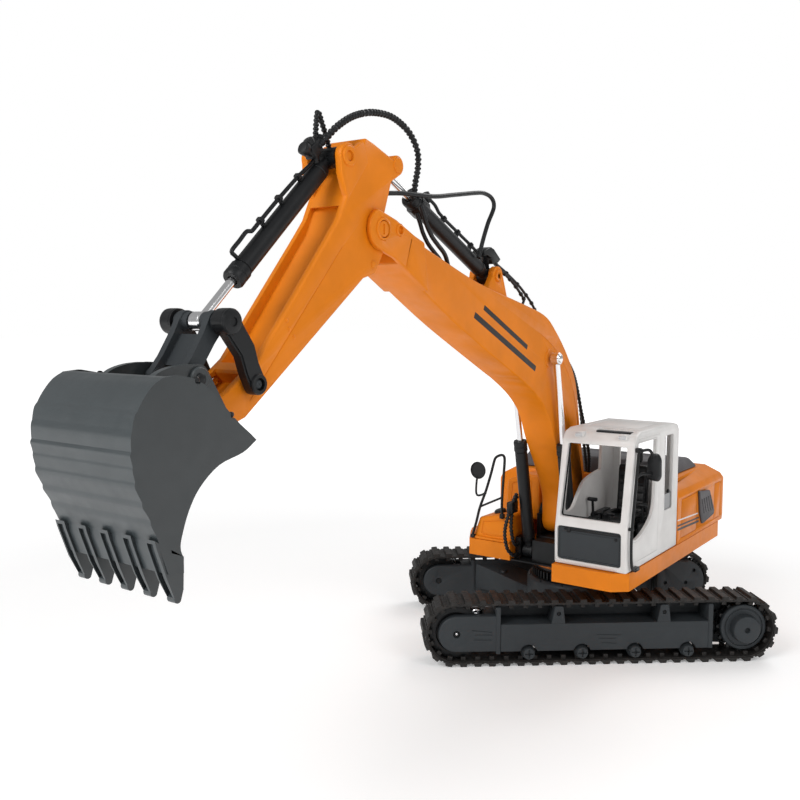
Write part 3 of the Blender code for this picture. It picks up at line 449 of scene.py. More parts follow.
def screw(point, axis, radius, depth=0.0006):
    """A cross-head screw: a domed head with a cross sunk into it, its face at the point and along the axis."""
    point, axis = Vector(point), Vector(axis).normalized()
    head = turned(point - axis * depth, point, [(0.0, radius), (0.72, radius), (1.0, radius * 0.72)], 24)
    side = axis.orthogonal().normalized()
    for arm in (side, axis.cross(side)):
        low = point - axis * depth * 0.6
        bar = gather([rod(low - arm * radius * 0.55, low + arm * radius * 0.55, radius * 0.16, 4)])
        bar.data.transform(Matrix.Translation(axis * depth * 0.45))
        head = cut(head, bar)
    return head


# --- Bucket and its links ------------------------------------------------------------------------
def bucket():
    """Ribbed shell between side plates, a recessed top sheet, ears with bosses and five teeth."""
    back = spline([(0.4260, 0.2219), (0.4311, 0.2190), (0.4357, 0.2140), (0.4387, 0.2090), (0.4406, 0.2035),
                   (0.4412, 0.1961), (0.4399, 0.1849), (0.4370, 0.1768), (0.4336, 0.1697), (0.4303, 0.1618),
                   (0.4255, 0.1466)], 8)

    def back_x(z):
        for (x0, z0), (x1, z1) in zip(back, back[1:]):
            if z1 <= z <= z0:
                return x0 + (x1 - x0) * (z0 - z) / max(z0 - z1, 1e-9)
        return back[-1][0]

    ledges = [0.2105, 0.2036, 0.1961, 0.1905, 0.1849, 0.1768, 0.1697, 0.1605]
    proud = [0.0006, 0.0003, 0.0007, 0.0003, 0.0007, 0.0007, 0.0006, 0.0005]
    ribbed = [p for p in back if p[1] > ledges[0] + 0.0004]
    for top, bottom, height in zip(ledges, ledges[1:] + [0.1466], proud):
        for i in range(12):
            share = i / 12
            z = top + (bottom - top) * share
            swell = math.sin(math.pi * min(1.0, share / 0.30) / 2) if share < 0.30 else (1.0 - (share - 0.30) / 0.70) ** 1.3
            ribbed.append((back_x(z) + height * swell, z))
    mouth = spline([(0.4183, 0.1526), (0.4196, 0.1560), (0.4191, 0.1602), (0.4153, 0.1700), (0.4094, 0.1784),
                    (0.3993, 0.1857), (0.3862, 0.1892), (0.3784, 0.1935)], 4)
    crown = [(0.3815, 0.1962), (0.3877, 0.2011), (0.3937, 0.2068), (0.3999, 0.2132), (0.4060, 0.2182),
             (0.4119, 0.2210), (0.4190, 0.2224)]
    shell = prism(ribbed + [(0.4183, 0.1466)] + mouth + crown, -BUCKET_HALF, BUCKET_HALF)
    wall = BUCKET_HALF - 0.0026
    inside = [(back_x(z) - 0.0022, z) for z in (0.1640, 0.1700, 0.1800, 0.1900, 0.2000, 0.2060, 0.2110)]
    inside = [(0.3700, 0.1526), (0.4188, 0.1526), (0.4225, 0.1545)] + inside
    inside += [(0.4318, 0.2163), (0.4245, 0.2193), (0.4212, 0.2125), (0.3945, 0.1905), (0.3880, 0.1893), (0.3700, 0.1893)]
    above = [(0.4232, 0.2300), (0.4232, 0.2224), (0.4189, 0.2138), (0.3935, 0.1930), (0.3870, 0.1920), (0.3600, 0.1990),
             (0.3600, 0.2400)]
    shell = cut(shell, prism(inside, -wall, wall), prism(above, -wall, wall))
    shell = cut(shell, block((0.3700, -STICK_HALF - 0.0004, 0.1850), (0.3870, STICK_HALF + 0.0004, 0.1975)))
    for spot, size in (((0.4092, 0.2200), 0.0017), ((0.3912, 0.2050), 0.0015)):
        shell = cut(shell, cross_rod(spot, size, -0.05, 0.05, 20))
    tooth = [(0.4182, 0.1530), (0.4319, 0.1618), (0.4310, 0.1585), (0.4263, 0.1455)]
    tooth += arc((0.4208, 0.1369), 0.0018, 20, -140, 7) + [(0.4180, 0.1400)]
    ridge = []
    for number in range(-2, 3):
        middle = number * (BUCKET_HALF - 0.0030) / 2
        body = prism(tooth, middle - 0.0030, middle + 0.0030)
        for vertex in body.data.vertices:
            vertex.co.y = middle + (vertex.co.y - middle) * (0.72 if vertex.co.z < 0.1420 else 1.0)
        groove = [(0.4345, 0.1602), (0.4293, 0.1602), (0.4232, 0.1440), (0.4209, 0.1388), (0.4240, 0.1366), (0.4290, 0.1440)]
        body = cut(body, prism(groove, middle - 0.0021, middle + 0.0012))
        ridge.append(body)
    shell = join(shell, *ridge)
    ear = arc(LINK_PIN, 0.0061, 80, 150, 10) + arc(BUCKET_PIN, 0.0066, 130, 290, 14)
    ear += [(0.3960, 0.1955), (0.4040, 0.2012), (0.4178, 0.2150)]
    ear += spline([(0.4194, 0.2172), (0.4190, 0.2204), (0.4150, 0.2230), (0.4080, 0.2247), (0.4010, 0.2252)], 4)
    for side in (1, -1):
        plate = prism(ear, *sorted(side * y for y in EAR_Y))
        for pin in (LINK_PIN, BUCKET_PIN):
            outer = EAR_Y[1]
            boss = turned((pin[0], side * (outer - 0.0005), pin[1]), (pin[0], side * (outer + 0.0015), pin[1]),
                          [(0.0, 0.0050), (0.75, 0.0050), (1.0, 0.0044)], 32)
            plate = join(plate, boss)
        shell = join(shell, plate)
    piece("bucket_shell", shell, IRON, "bucket", ["bucket"], edge=0.00025)
    for label, side in (("left", 1), ("right", -1)):
        heads = []
        for spot, size in (((0.4092, 0.2200), 0.0014), ((0.3912, 0.2050), 0.0012)):
            heads.append(turned((spot[0], side * 0.0292, spot[1]), (spot[0], side * 0.0306, spot[1]),
                                [(0.0, size), (0.7, size), (1.0, size * 0.6)], 20))
        piece(f"bucket_side_pins_{label}", gather(heads), BLACK, "bucket", edge=0)
        caps = [turned((pin[0], side * 0.0165, pin[1]), (pin[0], side * 0.0187, pin[1]),
                       [(0.0, 0.0026), (0.7, 0.0026), (0.9, 0.0021), (1.0, 0.0008)], 24) for pin in (LINK_PIN, BUCKET_PIN)]
        piece(f"bucket_pin_heads_{label}", gather(caps), BLACK, "bucket", edge=0)
    piece("bucket_pin", cross_rod(BUCKET_PIN, 0.0025, -0.0140, 0.0140), STEEL, "bucket")


def rockers():
    """Curved black links with a domed boss at the cross pin and a socketed boss at the stick."""
    step, length = toward(ROCKER_PIN, CROSS_PIN)
    lean = math.degrees(math.atan2(step.y, step.x))

    def bowed(inset):
        """Outline of the link, drawn in by inset: both edges bulge to the front."""
        outline = arc(CROSS_PIN, 0.0057 - inset, lean - 75, lean + 100, 16)
        for share, half, bow in ((0.75, 0.0053, 0.0030), (0.5, 0.0051, 0.0040), (0.25, 0.0047, 0.0026)):
            x = ROCKER_PIN[0] + step.x * length * share - step.y * (bow - 0.0022 + half - inset)
            z = ROCKER_PIN[1] + step.y * length * share + step.x * (bow - 0.0022 + half - inset)
            outline.append((x, z))
        outline += arc(ROCKER_PIN, 0.0047 - inset, lean + 95, lean + 265, 16)
        for share, half, bow in ((0.25, 0.0046, 0.0026), (0.5, 0.0045, 0.0040), (0.75, 0.0048, 0.0030)):
            x = ROCKER_PIN[0] + step.x * length * share - step.y * (bow - 0.0022 - half + inset)
            z = ROCKER_PIN[1] + step.y * length * share + step.x * (bow - 0.0022 - half + inset)
            outline.append((x, z))
        return outline

    for label, side in (("left", 1), ("right", -1)):
        plate = prism(bowed(0.0), *sorted((side * 0.0140, side * 0.0183)))
        raised = prism(bowed(0.0011), *sorted((side * 0.0180, side * 0.0188)))
        hub = turned((CROSS_PIN[0], side * 0.0128, CROSS_PIN[1]), (CROSS_PIN[0], side * 0.0206, CROSS_PIN[1]),
                     [(0.0, 0.0056), (0.84, 0.0056), (0.95, 0.0050), (1.0, 0.0036)], 40)
        foot = turned((ROCKER_PIN[0], side * 0.0140, ROCKER_PIN[1]), (ROCKER_PIN[0], side * 0.0196, ROCKER_PIN[1]),
                      [(0.0, 0.0046), (0.9, 0.0046), (1.0, 0.0042)], 36)
        link_plate = join(plate, raised, hub, foot)
        socket = turned((ROCKER_PIN[0], side * 0.0176, ROCKER_PIN[1]), (ROCKER_PIN[0], side * 0.0200, ROCKER_PIN[1]),
                        [(0.0, 0.0026), (1.0, 0.0028)], 30)
        dimple = turned((CROSS_PIN[0], side * 0.0200, CROSS_PIN[1]), (CROSS_PIN[0], side * 0.0212, CROSS_PIN[1]),
                        [(0.0, 0.0019), (1.0, 0.0021)], 24)
        link_plate = cut(link_plate, socket, dimple)
        piece(f"rocker_link_{label}", link_plate, BLACK, "rockers", [f"rocker_{label}"], edge=0.00035, segments=3)
        stub = screw((ROCKER_PIN[0], side * 0.0190, ROCKER_PIN[1]), (0, side, 0), 0.0020, 0.0016)
        piece(f"rocker_screw_{label}", stub, SLATE, "rockers", edge=0)
        piece(f"rocker_stub_{label}", cross_rod(ROCKER_PIN, 0.0020, *sorted((side * 0.0084, side * 0.0150))), STEEL, "rockers")


def tipping_link():
    """Flanged link between the cross tube and the bucket's ears, with a sunk web."""
    step, length = toward(CROSS_PIN, LINK_PIN)
    lean = math.degrees(math.atan2(step.y, step.x))
    outline = arc(CROSS_PIN, 0.0048, lean + 75, lean + 285, 16)
    for share, half in ((0.3, 0.0038), (0.7, 0.0036)):
        p = along(CROSS_PIN, LINK_PIN, length * share, -half)
        outline.append((p[0], p[2]))
    outline += arc(LINK_PIN, 0.0044, lean - 90, lean + 90, 14)
    for share, half in ((0.7, 0.0036), (0.3, 0.0038)):
        p = along(CROSS_PIN, LINK_PIN, length * share, half)
        outline.append((p[0], p[2]))
    parts = []
    for side in (1, -1):
        flange = prism(outline, *sorted((side * 0.0074, side * 0.0108)))
        collar = turned((CROSS_PIN[0], side * 0.0040, CROSS_PIN[1]), (CROSS_PIN[0], side * 0.0124, CROSS_PIN[1]),
                        [(0.0, 0.0042), (0.35, 0.0042), (0.36, 0.0047), (0.78, 0.0047), (0.79, 0.0042), (1.0, 0.0042)], 36)
        hub = turned((LINK_PIN[0], side * 0.0070, LINK_PIN[1]), (LINK_PIN[0], side * 0.0121, LINK_PIN[1]),
                     [(0.0, 0.0040), (1.0, 0.0040)], 32)
        parts.append(join(flange, collar, hub))
    ends = [along(CROSS_PIN, LINK_PIN, d, o) for d, o in ((0.0068, -0.0022), (0.0225, -0.0022), (0.0225, 0.0006),
                                                          (0.0068, 0.0006))]
    web = prism([(p[0], p[2]) for p in ends], -0.0080, 0.0080)
    piece("tipping_link_frame", join(web, *parts), SLATE, "tipping_link", ["tipping_link"], edge=0.00035, segments=3)


# --- Stick -----------------------------------------------------------------------------------------
def stick():
    """Tapering box beam, troughed at the front, with lugs for both cylinders and bosses at its pins."""
    outline = [(0.3661, 0.2003), (0.3780, 0.1965)] + arc(BUCKET_PIN, 0.0068, -120, 60, 16)
    outline += [(0.3760, 0.2120), (0.3578, 0.2250), (0.3083, 0.2826), (0.3013, 0.2911), (0.2868, 0.3205), (0.2809, 0.3320),
                (0.2740, 0.3302), (0.2573, 0.3245)]
    outline += arc(STICK_CYL_PIN, 0.0052, 60, 240, 14)
    outline += [(0.2591, 0.3130), (0.2652, 0.2960), (0.2600, 0.2900), (0.2600, 0.2850), (0.2668, 0.2753),
                (0.2731, 0.2655), (0.2828, 0.2628)]
    beam = rounded(prism(outline, -STICK_HALF, STICK_HALF), 0.0009, 3, 28)
    trough = [(0.3560, 0.2190), (0.3640, 0.2280), (0.3120, 0.2890), (0.3010, 0.2975), (0.2950, 0.2975),
              (0.3020, 0.2840)]
    beam = cut(beam, prism(trough, -0.0092, 0.0092))
    throat = [(0.3640, 0.2280), (0.3640, 0.2190), (0.3605, 0.2145), (0.3760, 0.2045), (0.3800, 0.2160), (0.3700, 0.2260)]
    beam = cut(beam, prism(throat, -0.0086, 0.0086))
    lug = [(0.2790, 0.3200), (0.2950, 0.3010), (0.3000, 0.3130)] + arc(BUCKET_CYL_BASE, 0.0063, -20, 140, 16)
    lug += [(0.2830, 0.3300)]
    for side in (1, -1):
        lug_plate = rounded(prism(lug, *sorted((side * 0.0088, side * (STICK_HALF + 0.0003)))), 0.0006, 2)
        beam = join(beam, lug_plate)
        ring = turned((BUCKET_CYL_BASE[0], side * 0.0120, BUCKET_CYL_BASE[1]),
                      (BUCKET_CYL_BASE[0], side * 0.0137, BUCKET_CYL_BASE[1]),
                      [(0.0, 0.0050), (0.7, 0.0050), (1.0, 0.0044)], 32)
        beam = join(beam, ring)
        well = turned((BUCKET_CYL_BASE[0] + 0.0002, side * 0.0124, BUCKET_CYL_BASE[1]),
                      (BUCKET_CYL_BASE[0] + 0.0002, side * 0.0140, BUCKET_CYL_BASE[1]), [(0.0, 0.0025), (1.0, 0.0027)], 28)
        beam = cut(beam, well)
        rear = turned((STICK_CYL_PIN[0], side * 0.0120, STICK_CYL_PIN[1]), (STICK_CYL_PIN[0], side * 0.0132, STICK_CYL_PIN[1]),
                      [(0.0, 0.0040), (0.6, 0.0040), (1.0, 0.0035)], 30)
        beam = join(beam, rear)
        for spot in ((0.3395, 0.2422), (0.3380, 0.2383), (0.3348, 0.2346)):
            bump = turned((spot[0], side * 0.0120, spot[1]), (spot[0], side * 0.0131, spot[1]),
                          [(0.0, 0.0011), (0.6, 0.0010), (1.0, 0.0004)], 16)
            beam = join(beam, bump)
        boss = turned((0.2748, side * 0.0120, 0.2700), (0.2748, side * 0.0132, 0.2700), [(0.0, 0.0022), (0.7, 0.0021), (1.0, 0.0012)], 22)
        beam = join(beam, boss)
        foot = turned((BUCKET_PIN[0], side * 0.0120, BUCKET_PIN[1]), (BUCKET_PIN[0], side * 0.0129, BUCKET_PIN[1]),
                      [(0.0, 0.0052), (1.0, 0.0050)], 30)
        beam = join(beam, foot)
    holes = [cross_rod(STICK_PIN, 0.0034, -0.03, 0.03, 32), cross_rod(BUCKET_PIN, 0.0029, -0.03, 0.03, 32),
             cross_rod(ROCKER_PIN, 0.0024, -0.03, 0.03, 24), cross_rod(STICK_CYL_PIN, 0.0088, -0.0040, 0.0040, 40)]
    beam = cut(beam, *holes)
    seam = prism([(0.2990, 0.2780), (0.3000, 0.2772), (0.3640, 0.2080), (0.3633, 0.2076)], -0.0131, 0.0131)
    beam = cut(beam, overlap_of(seam, gather([block((0.2, -0.02, 0.1), (0.5, -0.01232, 0.4)), block((0.2, 0.01232, 0.1), (0.5, 0.02, 0.4))])))
    piece("stick_beam", beam, ORANGE, "stick", ["stick"], edge=0.0002)
    piece("stick_lug_pin", cross_rod(BUCKET_CYL_BASE, 0.0022, -0.0128, 0.0128, 24), ORANGE, "stick")


# --- Cylinders and rods ------------------------------------------------------------------------------
def barrel(name, body, node, base, pin, length, radius, gland, bore, y=0.0, eye_half=0.0038, neck=0.0078):
    """Cylinder with an eye, a stepped and bored gland, end rings and a fine seam."""
    start, stop = along(base, pin, 0.0, y=y), along(base, pin, length + 0.0006, y=y)
    total = length + 0.0006

    def at(distance):
        return distance / total

    profile = [(0.0, min(0.0034, eye_half)), (at(neck), min(0.0034, eye_half)), (at(neck + 0.0004), radius * 0.93),
               (at(neck + 0.0016), radius), (at(neck + 0.0040), radius), (at(neck + 0.0042), radius * 0.94),
               (at(neck + 0.0050), radius * 0.94), (at(neck + 0.0052), radius), (at(length - 0.0082), radius),
               (at(length - 0.0080), radius * 0.90), (at(length - 0.0072), radius * 0.90), (at(length - 0.0070), gland),
               (at(length - 0.0040), gland), (at(length - 0.0038), gland * 0.95), (at(length - 0.0030), gland * 0.95),
               (at(length - 0.0028), gland), (at(length - 0.0004), gland), (1.0, gland * 0.9)]
    shape = turned(start, stop, profile, 44)
    shape = join(shape, cross_rod(base, 0.0050, y - eye_half, y + eye_half, 36))
    drill = rod(along(base, pin, 0.0140, y=y), along(base, pin, length + 0.01, y=y), bore, 36)
    shape = cut(shape, drill, cross_rod(base, 0.0024, y - 0.01, y + 0.01, 24))
    return piece(name, shape, BLACK, body, [node], edge=0.00012)


def chrome(name, body, node, base, pin, start, radius, y=0.0, eye_half=0.0030):
    """Bright rod with a rounded steel eye."""
    _, length = toward(base, pin)
    bar = rod(along(base, pin, start, y=y), along(base, pin, length, y=y), radius, 32)
    eye = turned((pin[0], y - eye_half, pin[1]), (pin[0], y + eye_half, pin[1]),
                 [(0.0, 0.0037), (0.1, 0.0042), (0.9, 0.0042), (1.0, 0.0037)], 36)
    return piece(name, join(bar, eye), STEEL, body, [node], edge=0.00012)


def feed_pipe(name, body, base, pin, route, clamps, y=0.0, radius=0.0010):
    """Feed pipe beside a cylinder, with clamps that hold it to the barrel."""
    parts = [hose([(p[0], y, p[1]) for p in route], radius, pitch=0.0008, sides=14)]
    for x, z, reach in clamps:
        step, _ = toward(base, pin)
        ahead = Vector((step.x, 0.0, step.y))
        aside = Vector((step.y, 0.0, -step.x))
        middle = Vector((x, y, z))
        half = 0.0011
        corners = []
        for dx, dy in ((-half, -0.0016), (half, -0.0016), (half, 0.0016), (-half, 0.0016)):
            corners.append((dx, dy))
        bm = bmesh.new()
        rings = []
        for distance, scale in ((-0.0016, 0.75), (-0.0010, 1.0), (0.0008, 1.0), (0.0016, 0.6), (reach, 0.6)):
            rings.append([bm.verts.new(middle + aside * distance + ahead * dx * scale + Vector((0.0, dy * scale, 0.0)))
                          for dx, dy in corners])
        for a, b in zip(rings, rings[1:]):
            for i in range(4):
                bm.faces.new((a[i - 1], a[i], b[i], b[i - 1]))
        bm.faces.new(rings[0])
        bm.faces.new(list(reversed(rings[-1])))
        parts.append(from_bmesh(bm))
    return piece(name, join(*parts), BLACK, body, edge=0.00015)


def bucket_cylinder():
    barrel("bucket_barrel_body", "bucket_barrel", "bucket_cylinder", BUCKET_CYL_BASE, CROSS_PIN, 0.0900, 0.0047, 0.0052,
           0.0025, eye_half=0.0070)
    chrome("bucket_rod_bar", "bucket_piston", "bucket_rod", BUCKET_CYL_BASE, CROSS_PIN, 0.0400, 0.0021, eye_half=0.0034)
    route = [(0.3060, 0.3188), (0.3085, 0.3164), (0.3172, 0.3098), (0.3305, 0.2984), (0.3427, 0.2873), (0.3478, 0.2826),
             (0.3492, 0.2821), (0.3518, 0.2816), (0.3560, 0.2775), (0.3608, 0.2727), (0.3590, 0.2708), (0.3562, 0.2690)]
    feed_pipe("bucket_feed_pipe", "bucket_barrel", BUCKET_CYL_BASE, CROSS_PIN, route,
              [(0.3172, 0.3098, 0.0058), (0.3305, 0.2984, 0.0058), (0.3427, 0.2873, 0.0054)])
    blocks = [block((-0.0034, -0.0034, -0.0030), (0.0040, 0.0034, 0.0034)), rod((0, 0, -0.004), (0, 0, 0.0058), 0.0026, 20)]
    knot = rounded(join(*blocks), 0.0006, 2)
    knot.data.transform(Matrix.Translation((0.3062, 0.0, 0.3240)) @ Matrix.Rotation(math.radians(40), 4, "Y"))
    plugs = [turned((0.3040, 0.0, 0.3262), (0.2998, 0.0, 0.3300), [(0.0, 0.0024), (0.6, 0.0024), (0.62, 0.0030), (1.0, 0.0028)], 24),
             turned((0.3078, 0.0, 0.3222), (0.3140, 0.0, 0.3240), [(0.0, 0.0024), (0.55, 0.0024), (0.6, 0.0033), (0.9, 0.0033), (1.0, 0.0026)], 24),
             rod((0.3060, 0.0, 0.3240), (0.3035, 0.0, 0.3170), 0.0020, 20)]
    piece("bucket_hose_block", join(knot, *plugs), BLACK, "bucket_barrel", edge=0.0002)


def stick_cylinder():
    barrel("stick_barrel_body", "stick_barrel", "stick_cylinder", STICK_CYL_BASE, STICK_CYL_PIN, 0.0930, 0.0045, 0.0050, 0.0025,
           eye_half=0.0040)
    chrome("stick_rod_bar", "stick_piston", "stick_rod", STICK_CYL_BASE, STICK_CYL_PIN, 0.0360, 0.0021)
    barrel_end = 0.0930
    route = [(0.2085, 0.3095), (0.2062, 0.3108), (0.2050, 0.3098), (0.2010, 0.3078), (0.1985, 0.3058), (0.1966, 0.3038),
             (0.1935, 0.3020), (0.1911, 0.3006), (0.1760, 0.2938), (0.1608, 0.2869), (0.1535, 0.2832), (0.1510, 0.2812)]
    feed_pipe("stick_feed_pipe", "stick_barrel", STICK_CYL_PIN, STICK_CYL_BASE, route,
              [(0.1911, 0.3006, -0.0052), (0.1760, 0.2938, -0.0052), (0.1610, 0.2870, -0.0050)])
    gland = along(STICK_CYL_BASE, STICK_CYL_PIN, barrel_end - 0.0080)
    knob = turned((0.2072, 0.0, 0.3085), (0.2100, 0.0, 0.3135), [(0.0, 0.0020), (0.5, 0.0020), (0.6, 0.0026), (1.0, 0.0020)], 20)
    collar = turned(along(STICK_CYL_BASE, STICK_CYL_PIN, barrel_end - 0.0150), along(STICK_CYL_BASE, STICK_CYL_PIN, barrel_end - 0.0050),
                    [(0.0, 0.0052), (0.1, 0.0059), (0.9, 0.0059), (1.0, 0.0052)], 8)
    collar = cut(collar, rod(along(STICK_CYL_BASE, STICK_CYL_PIN, 0.06), along(STICK_CYL_BASE, STICK_CYL_PIN, 0.11), 0.0040, 32))
    inlet = turned((gland[0] + 0.0010, 0.0, gland[2] + 0.0020), (gland[0] + 0.0052, 0.0, gland[2] + 0.0082),
                   [(0.0, 0.0034), (0.5, 0.0034), (0.55, 0.0028), (1.0, 0.0025)], 24)
    piece("stick_hose_block", join(collar, knob, inlet), BLACK, "stick_barrel", edge=0.0002)


def boom_cylinders():
    for label, side in (("left", 1), ("right", -1)):
        y = side * CYL_Y
        barrel(f"boom_barrel_{label}", "boom_cylinders", f"boom_cylinder_{label}", BOOM_CYL_BASE, BOOM_CYL_PIN, 0.0860, 0.0045,
               0.0049, 0.0026, y=y)
        step, length = toward(BOOM_CYL_BASE, BOOM_CYL_PIN)
        bar = rod(along(BOOM_CYL_BASE, BOOM_CYL_PIN, 0.0360, y=y), along(BOOM_CYL_BASE, BOOM_CYL_PIN, length, y=y), 0.0022, 32)
        eye = turned((BOOM_CYL_PIN[0], y - 0.0030, BOOM_CYL_PIN[1]), (BOOM_CYL_PIN[0], y + 0.0030, BOOM_CYL_PIN[1]),
                     [(0.0, 0.0037), (0.1, 0.0042), (0.9, 0.0042), (1.0, 0.0037)], 36)
        tip = turned((BOOM_CYL_PIN[0], side * 0.0124, BOOM_CYL_PIN[1]), (BOOM_CYL_PIN[0], side * 0.0210, BOOM_CYL_PIN[1]),
                     [(0.0, 0.0022), (0.86, 0.0022), (0.88, 0.0026), (0.96, 0.0024), (1.0, 0.0016)], 28)
        piece(f"boom_rod_bar_{label}", join(bar, eye, tip), STEEL, "boom_rods", [f"boom_rod_{label}"], edge=0.00012)
        front, back = 0.0072, 0.0056
        pipe = [along(BOOM_CYL_BASE, BOOM_CYL_PIN, d, o, y) for d, o in ((0.0180, 0.0030), (0.0190, back), (0.0230, back + 0.0008),
                (0.0500, back + 0.0008), (0.0680, back + 0.0008), (0.0720, back), (0.0735, 0.0030))]
        parts = [hose(pipe, 0.0009, pitch=0.0010)]
        for distance in (0.0300, 0.0420, 0.0540, 0.0650):
            foot = along(BOOM_CYL_BASE, BOOM_CYL_PIN, distance, 0.0030, y)
            head = along(BOOM_CYL_BASE, BOOM_CYL_PIN, distance, front, y)
            parts.append(turned(foot, head, [(0.0, 0.0013), (0.8, 0.0013), (1.0, 0.0007)], 12))
        piece(f"boom_feed_pipe_{label}", join(*parts), BLACK, "boom_cylinders", edge=0.00012)


# --- Boom --------------------------------------------------------------------------------------------
def boom():
    """Gooseneck box beam with a forked tip, lugs for the stick cylinder and bosses at its pins."""
    lower = spline([(0.2545, 0.2712), (0.2327, 0.2592), (0.1916, 0.2375), (0.1301, 0.2089), (0.1128, 0.2010), (0.0915, 0.1890),
                    (0.0757, 0.1750), (0.0645, 0.1550), (0.0486, 0.1309), (0.0385, 0.1120), (0.0372, 0.1000)], 4)
    upper = spline([(0.0112, 0.1000), (0.0122, 0.1144), (0.0211, 0.1496), (0.0271, 0.1747), (0.0330, 0.1960), (0.0471, 0.2158),
                    (0.0667, 0.2339), (0.0837, 0.2443), (0.1191, 0.2527), (0.1694, 0.2635), (0.2131, 0.2769), (0.2422, 0.2866),
                    (0.2545, 0.2915)], 4)
    foot = arc(FOOT, 0.0134, -12, -168, 20)
    beam = rounded(prism(lower + foot + upper, -BOOM_HALF, BOOM_HALF), 0.0010, 3, 40)
    nose = arc(STICK_PIN, 0.0105, -80, 70, 24)
    fork = [(0.2290, 0.2573), (0.2600, 0.2741)] + nose + [(0.2584, 0.2935), (0.2422, 0.2866), (0.2330, 0.2835)]
    fork = rounded(prism(fork, -FORK_HALF, FORK_HALF), 0.0010, 3, 40)
    slot = prism([(0.2545, 0.25), (0.30, 0.25), (0.30, 0.32), (0.2545, 0.32)], -STICK_HALF - GAP, STICK_HALF + GAP)
    beam = cut(join(beam, cut(fork, slot)), cross_rod(FOOT, 0.0034, -0.03, 0.03, 32), cross_rod(STICK_PIN, 0.0033, -0.03, 0.03, 32))
    for side in (1, -1):
        lug = [(0.1290, 0.2530), (0.1560, 0.2585)] + arc(STICK_CYL_BASE, 0.0060, 0, 150, 16)
        plate = rounded(prism(lug, *sorted((side * 0.0048, side * 0.0088))), 0.0005, 2)
        ring = turned((STICK_CYL_BASE[0], side * 0.0080, STICK_CYL_BASE[1]), (STICK_CYL_BASE[0], side * 0.0100, STICK_CYL_BASE[1]),
                      [(0.0, 0.0040), (0.7, 0.0040), (1.0, 0.0035)], 28)
        well = turned((STICK_CYL_BASE[0], side * 0.0092, STICK_CYL_BASE[1]), (STICK_CYL_BASE[0], side * 0.0104, STICK_CYL_BASE[1]),
                      [(0.0, 0.0020), (1.0, 0.0021)], 24)
        beam = join(beam, plate, ring)
        beam = cut(beam, well)
        for spot, size in ((STICK_PIN, 0.0060), ((0.2561, 0.2884), 0.0034)):
            boss = turned((spot[0], side * (FORK_HALF - 0.0004), spot[1]), (spot[0], side * (FORK_HALF + 0.0007), spot[1]),
                          [(0.0, size), (0.6, size), (1.0, size - 0.0004)], 36)
            beam = join(beam, boss)
        for spot, size, depth in ((STICK_PIN, 0.0044, 0.0008), ((0.2561, 0.2884), 0.0020, 0.0008)):
            well = turned((spot[0], side * (FORK_HALF - depth), spot[1]), (spot[0], side * (FORK_HALF + 0.0015), spot[1]),
                          [(0.0, size), (1.0, size + 0.0003)], 36)
            beam = cut(beam, well)
        seam = [(0.2449, 0.2846), (0.2457, 0.2848), (0.2515, 0.2684), (0.2507, 0.2680)]
        beam = cut(beam, prism(seam, *sorted((side * (FORK_HALF - 0.00025), side * (FORK_HALF + 0.001)))))
        boss = turned((BOOM_CYL_PIN[0], side * (BOOM_HALF - 0.0005), BOOM_CYL_PIN[1]),
                      (BOOM_CYL_PIN[0], side * (BOOM_HALF + 0.0006), BOOM_CYL_PIN[1]), [(0.0, 0.0066), (0.6, 0.0066), (1.0, 0.0062)], 36)
        beam = join(beam, boss)
    for side in (1, -1):
        line = [(p[0], p[1]) for p in spline([(0.0170, 0.1170), (0.0252, 0.1500), (0.0318, 0.1760), (0.0400, 0.1950), (0.0540, 0.2110),
                                              (0.0720, 0.2240), (0.0900, 0.2320)], 5)]
        strip = line + list(reversed(beside(line, -0.0004)))
        beam = cut(beam, prism(strip, *sorted((side * (BOOM_HALF - 0.00018), side * (BOOM_HALF + 0.001)))))
    piece("boom_beam", beam, ORANGE, "boom", ["boom"], edge=0.0002)
    end = FORK_HALF - 0.0012
    piece("stick_pin_shaft", cross_rod(STICK_PIN, 0.0030, -end, end, 32), BLACK, "boom", ["stick_pin"], edge=0.0002)
    caps = []
    for side in (1, -1):
        cap = turned((STICK_PIN[0], side * (end + 0.0002), STICK_PIN[1]), (STICK_PIN[0], side * (FORK_HALF + 0.0005), STICK_PIN[1]),
                     [(0.0, 0.0041), (0.85, 0.0041), (1.0, 0.0037)], 36)
        notch = block((STICK_PIN[0] - 0.0004, *sorted((side * FORK_HALF, side * (FORK_HALF + 0.001)))[:1], STICK_PIN[1] - 0.0026),
                      (STICK_PIN[0] + 0.0012, sorted((side * FORK_HALF, side * (FORK_HALF + 0.001)))[1], STICK_PIN[1] + 0.0026))
        caps.append(cut(cap, notch))
    piece("stick_pin_caps", gather(caps), ORANGE, "boom", edge=0.0001)
    piece("stick_cylinder_pin", cross_rod(STICK_CYL_BASE, 0.0019, -0.0092, 0.0092, 24), STEEL, "boom")
    for label, side in (("left", 1), ("right", -1)):
        marks = []
        for (start, stop), half in ((((0.1640, 0.2490), (0.1080, 0.2230)), 0.0016), (((0.1750, 0.2445), (0.0960, 0.2083)), 0.0019)):
            step, length = toward(start, stop)
            normal = Vector((-step.y, step.x)) * half
            corners = [(start[0] - normal.x, start[1] - normal.y), (stop[0] - normal.x, stop[1] - normal.y),
                       (stop[0] + normal.x, stop[1] + normal.y), (start[0] + normal.x, start[1] + normal.y)]
            marks.append(prism(corners, *sorted((side * (BOOM_HALF - 0.0003), side * (BOOM_HALF + 0.00006)))))
        piece(f"boom_stripes_{label}", gather(marks), INK, "boom", edge=0)


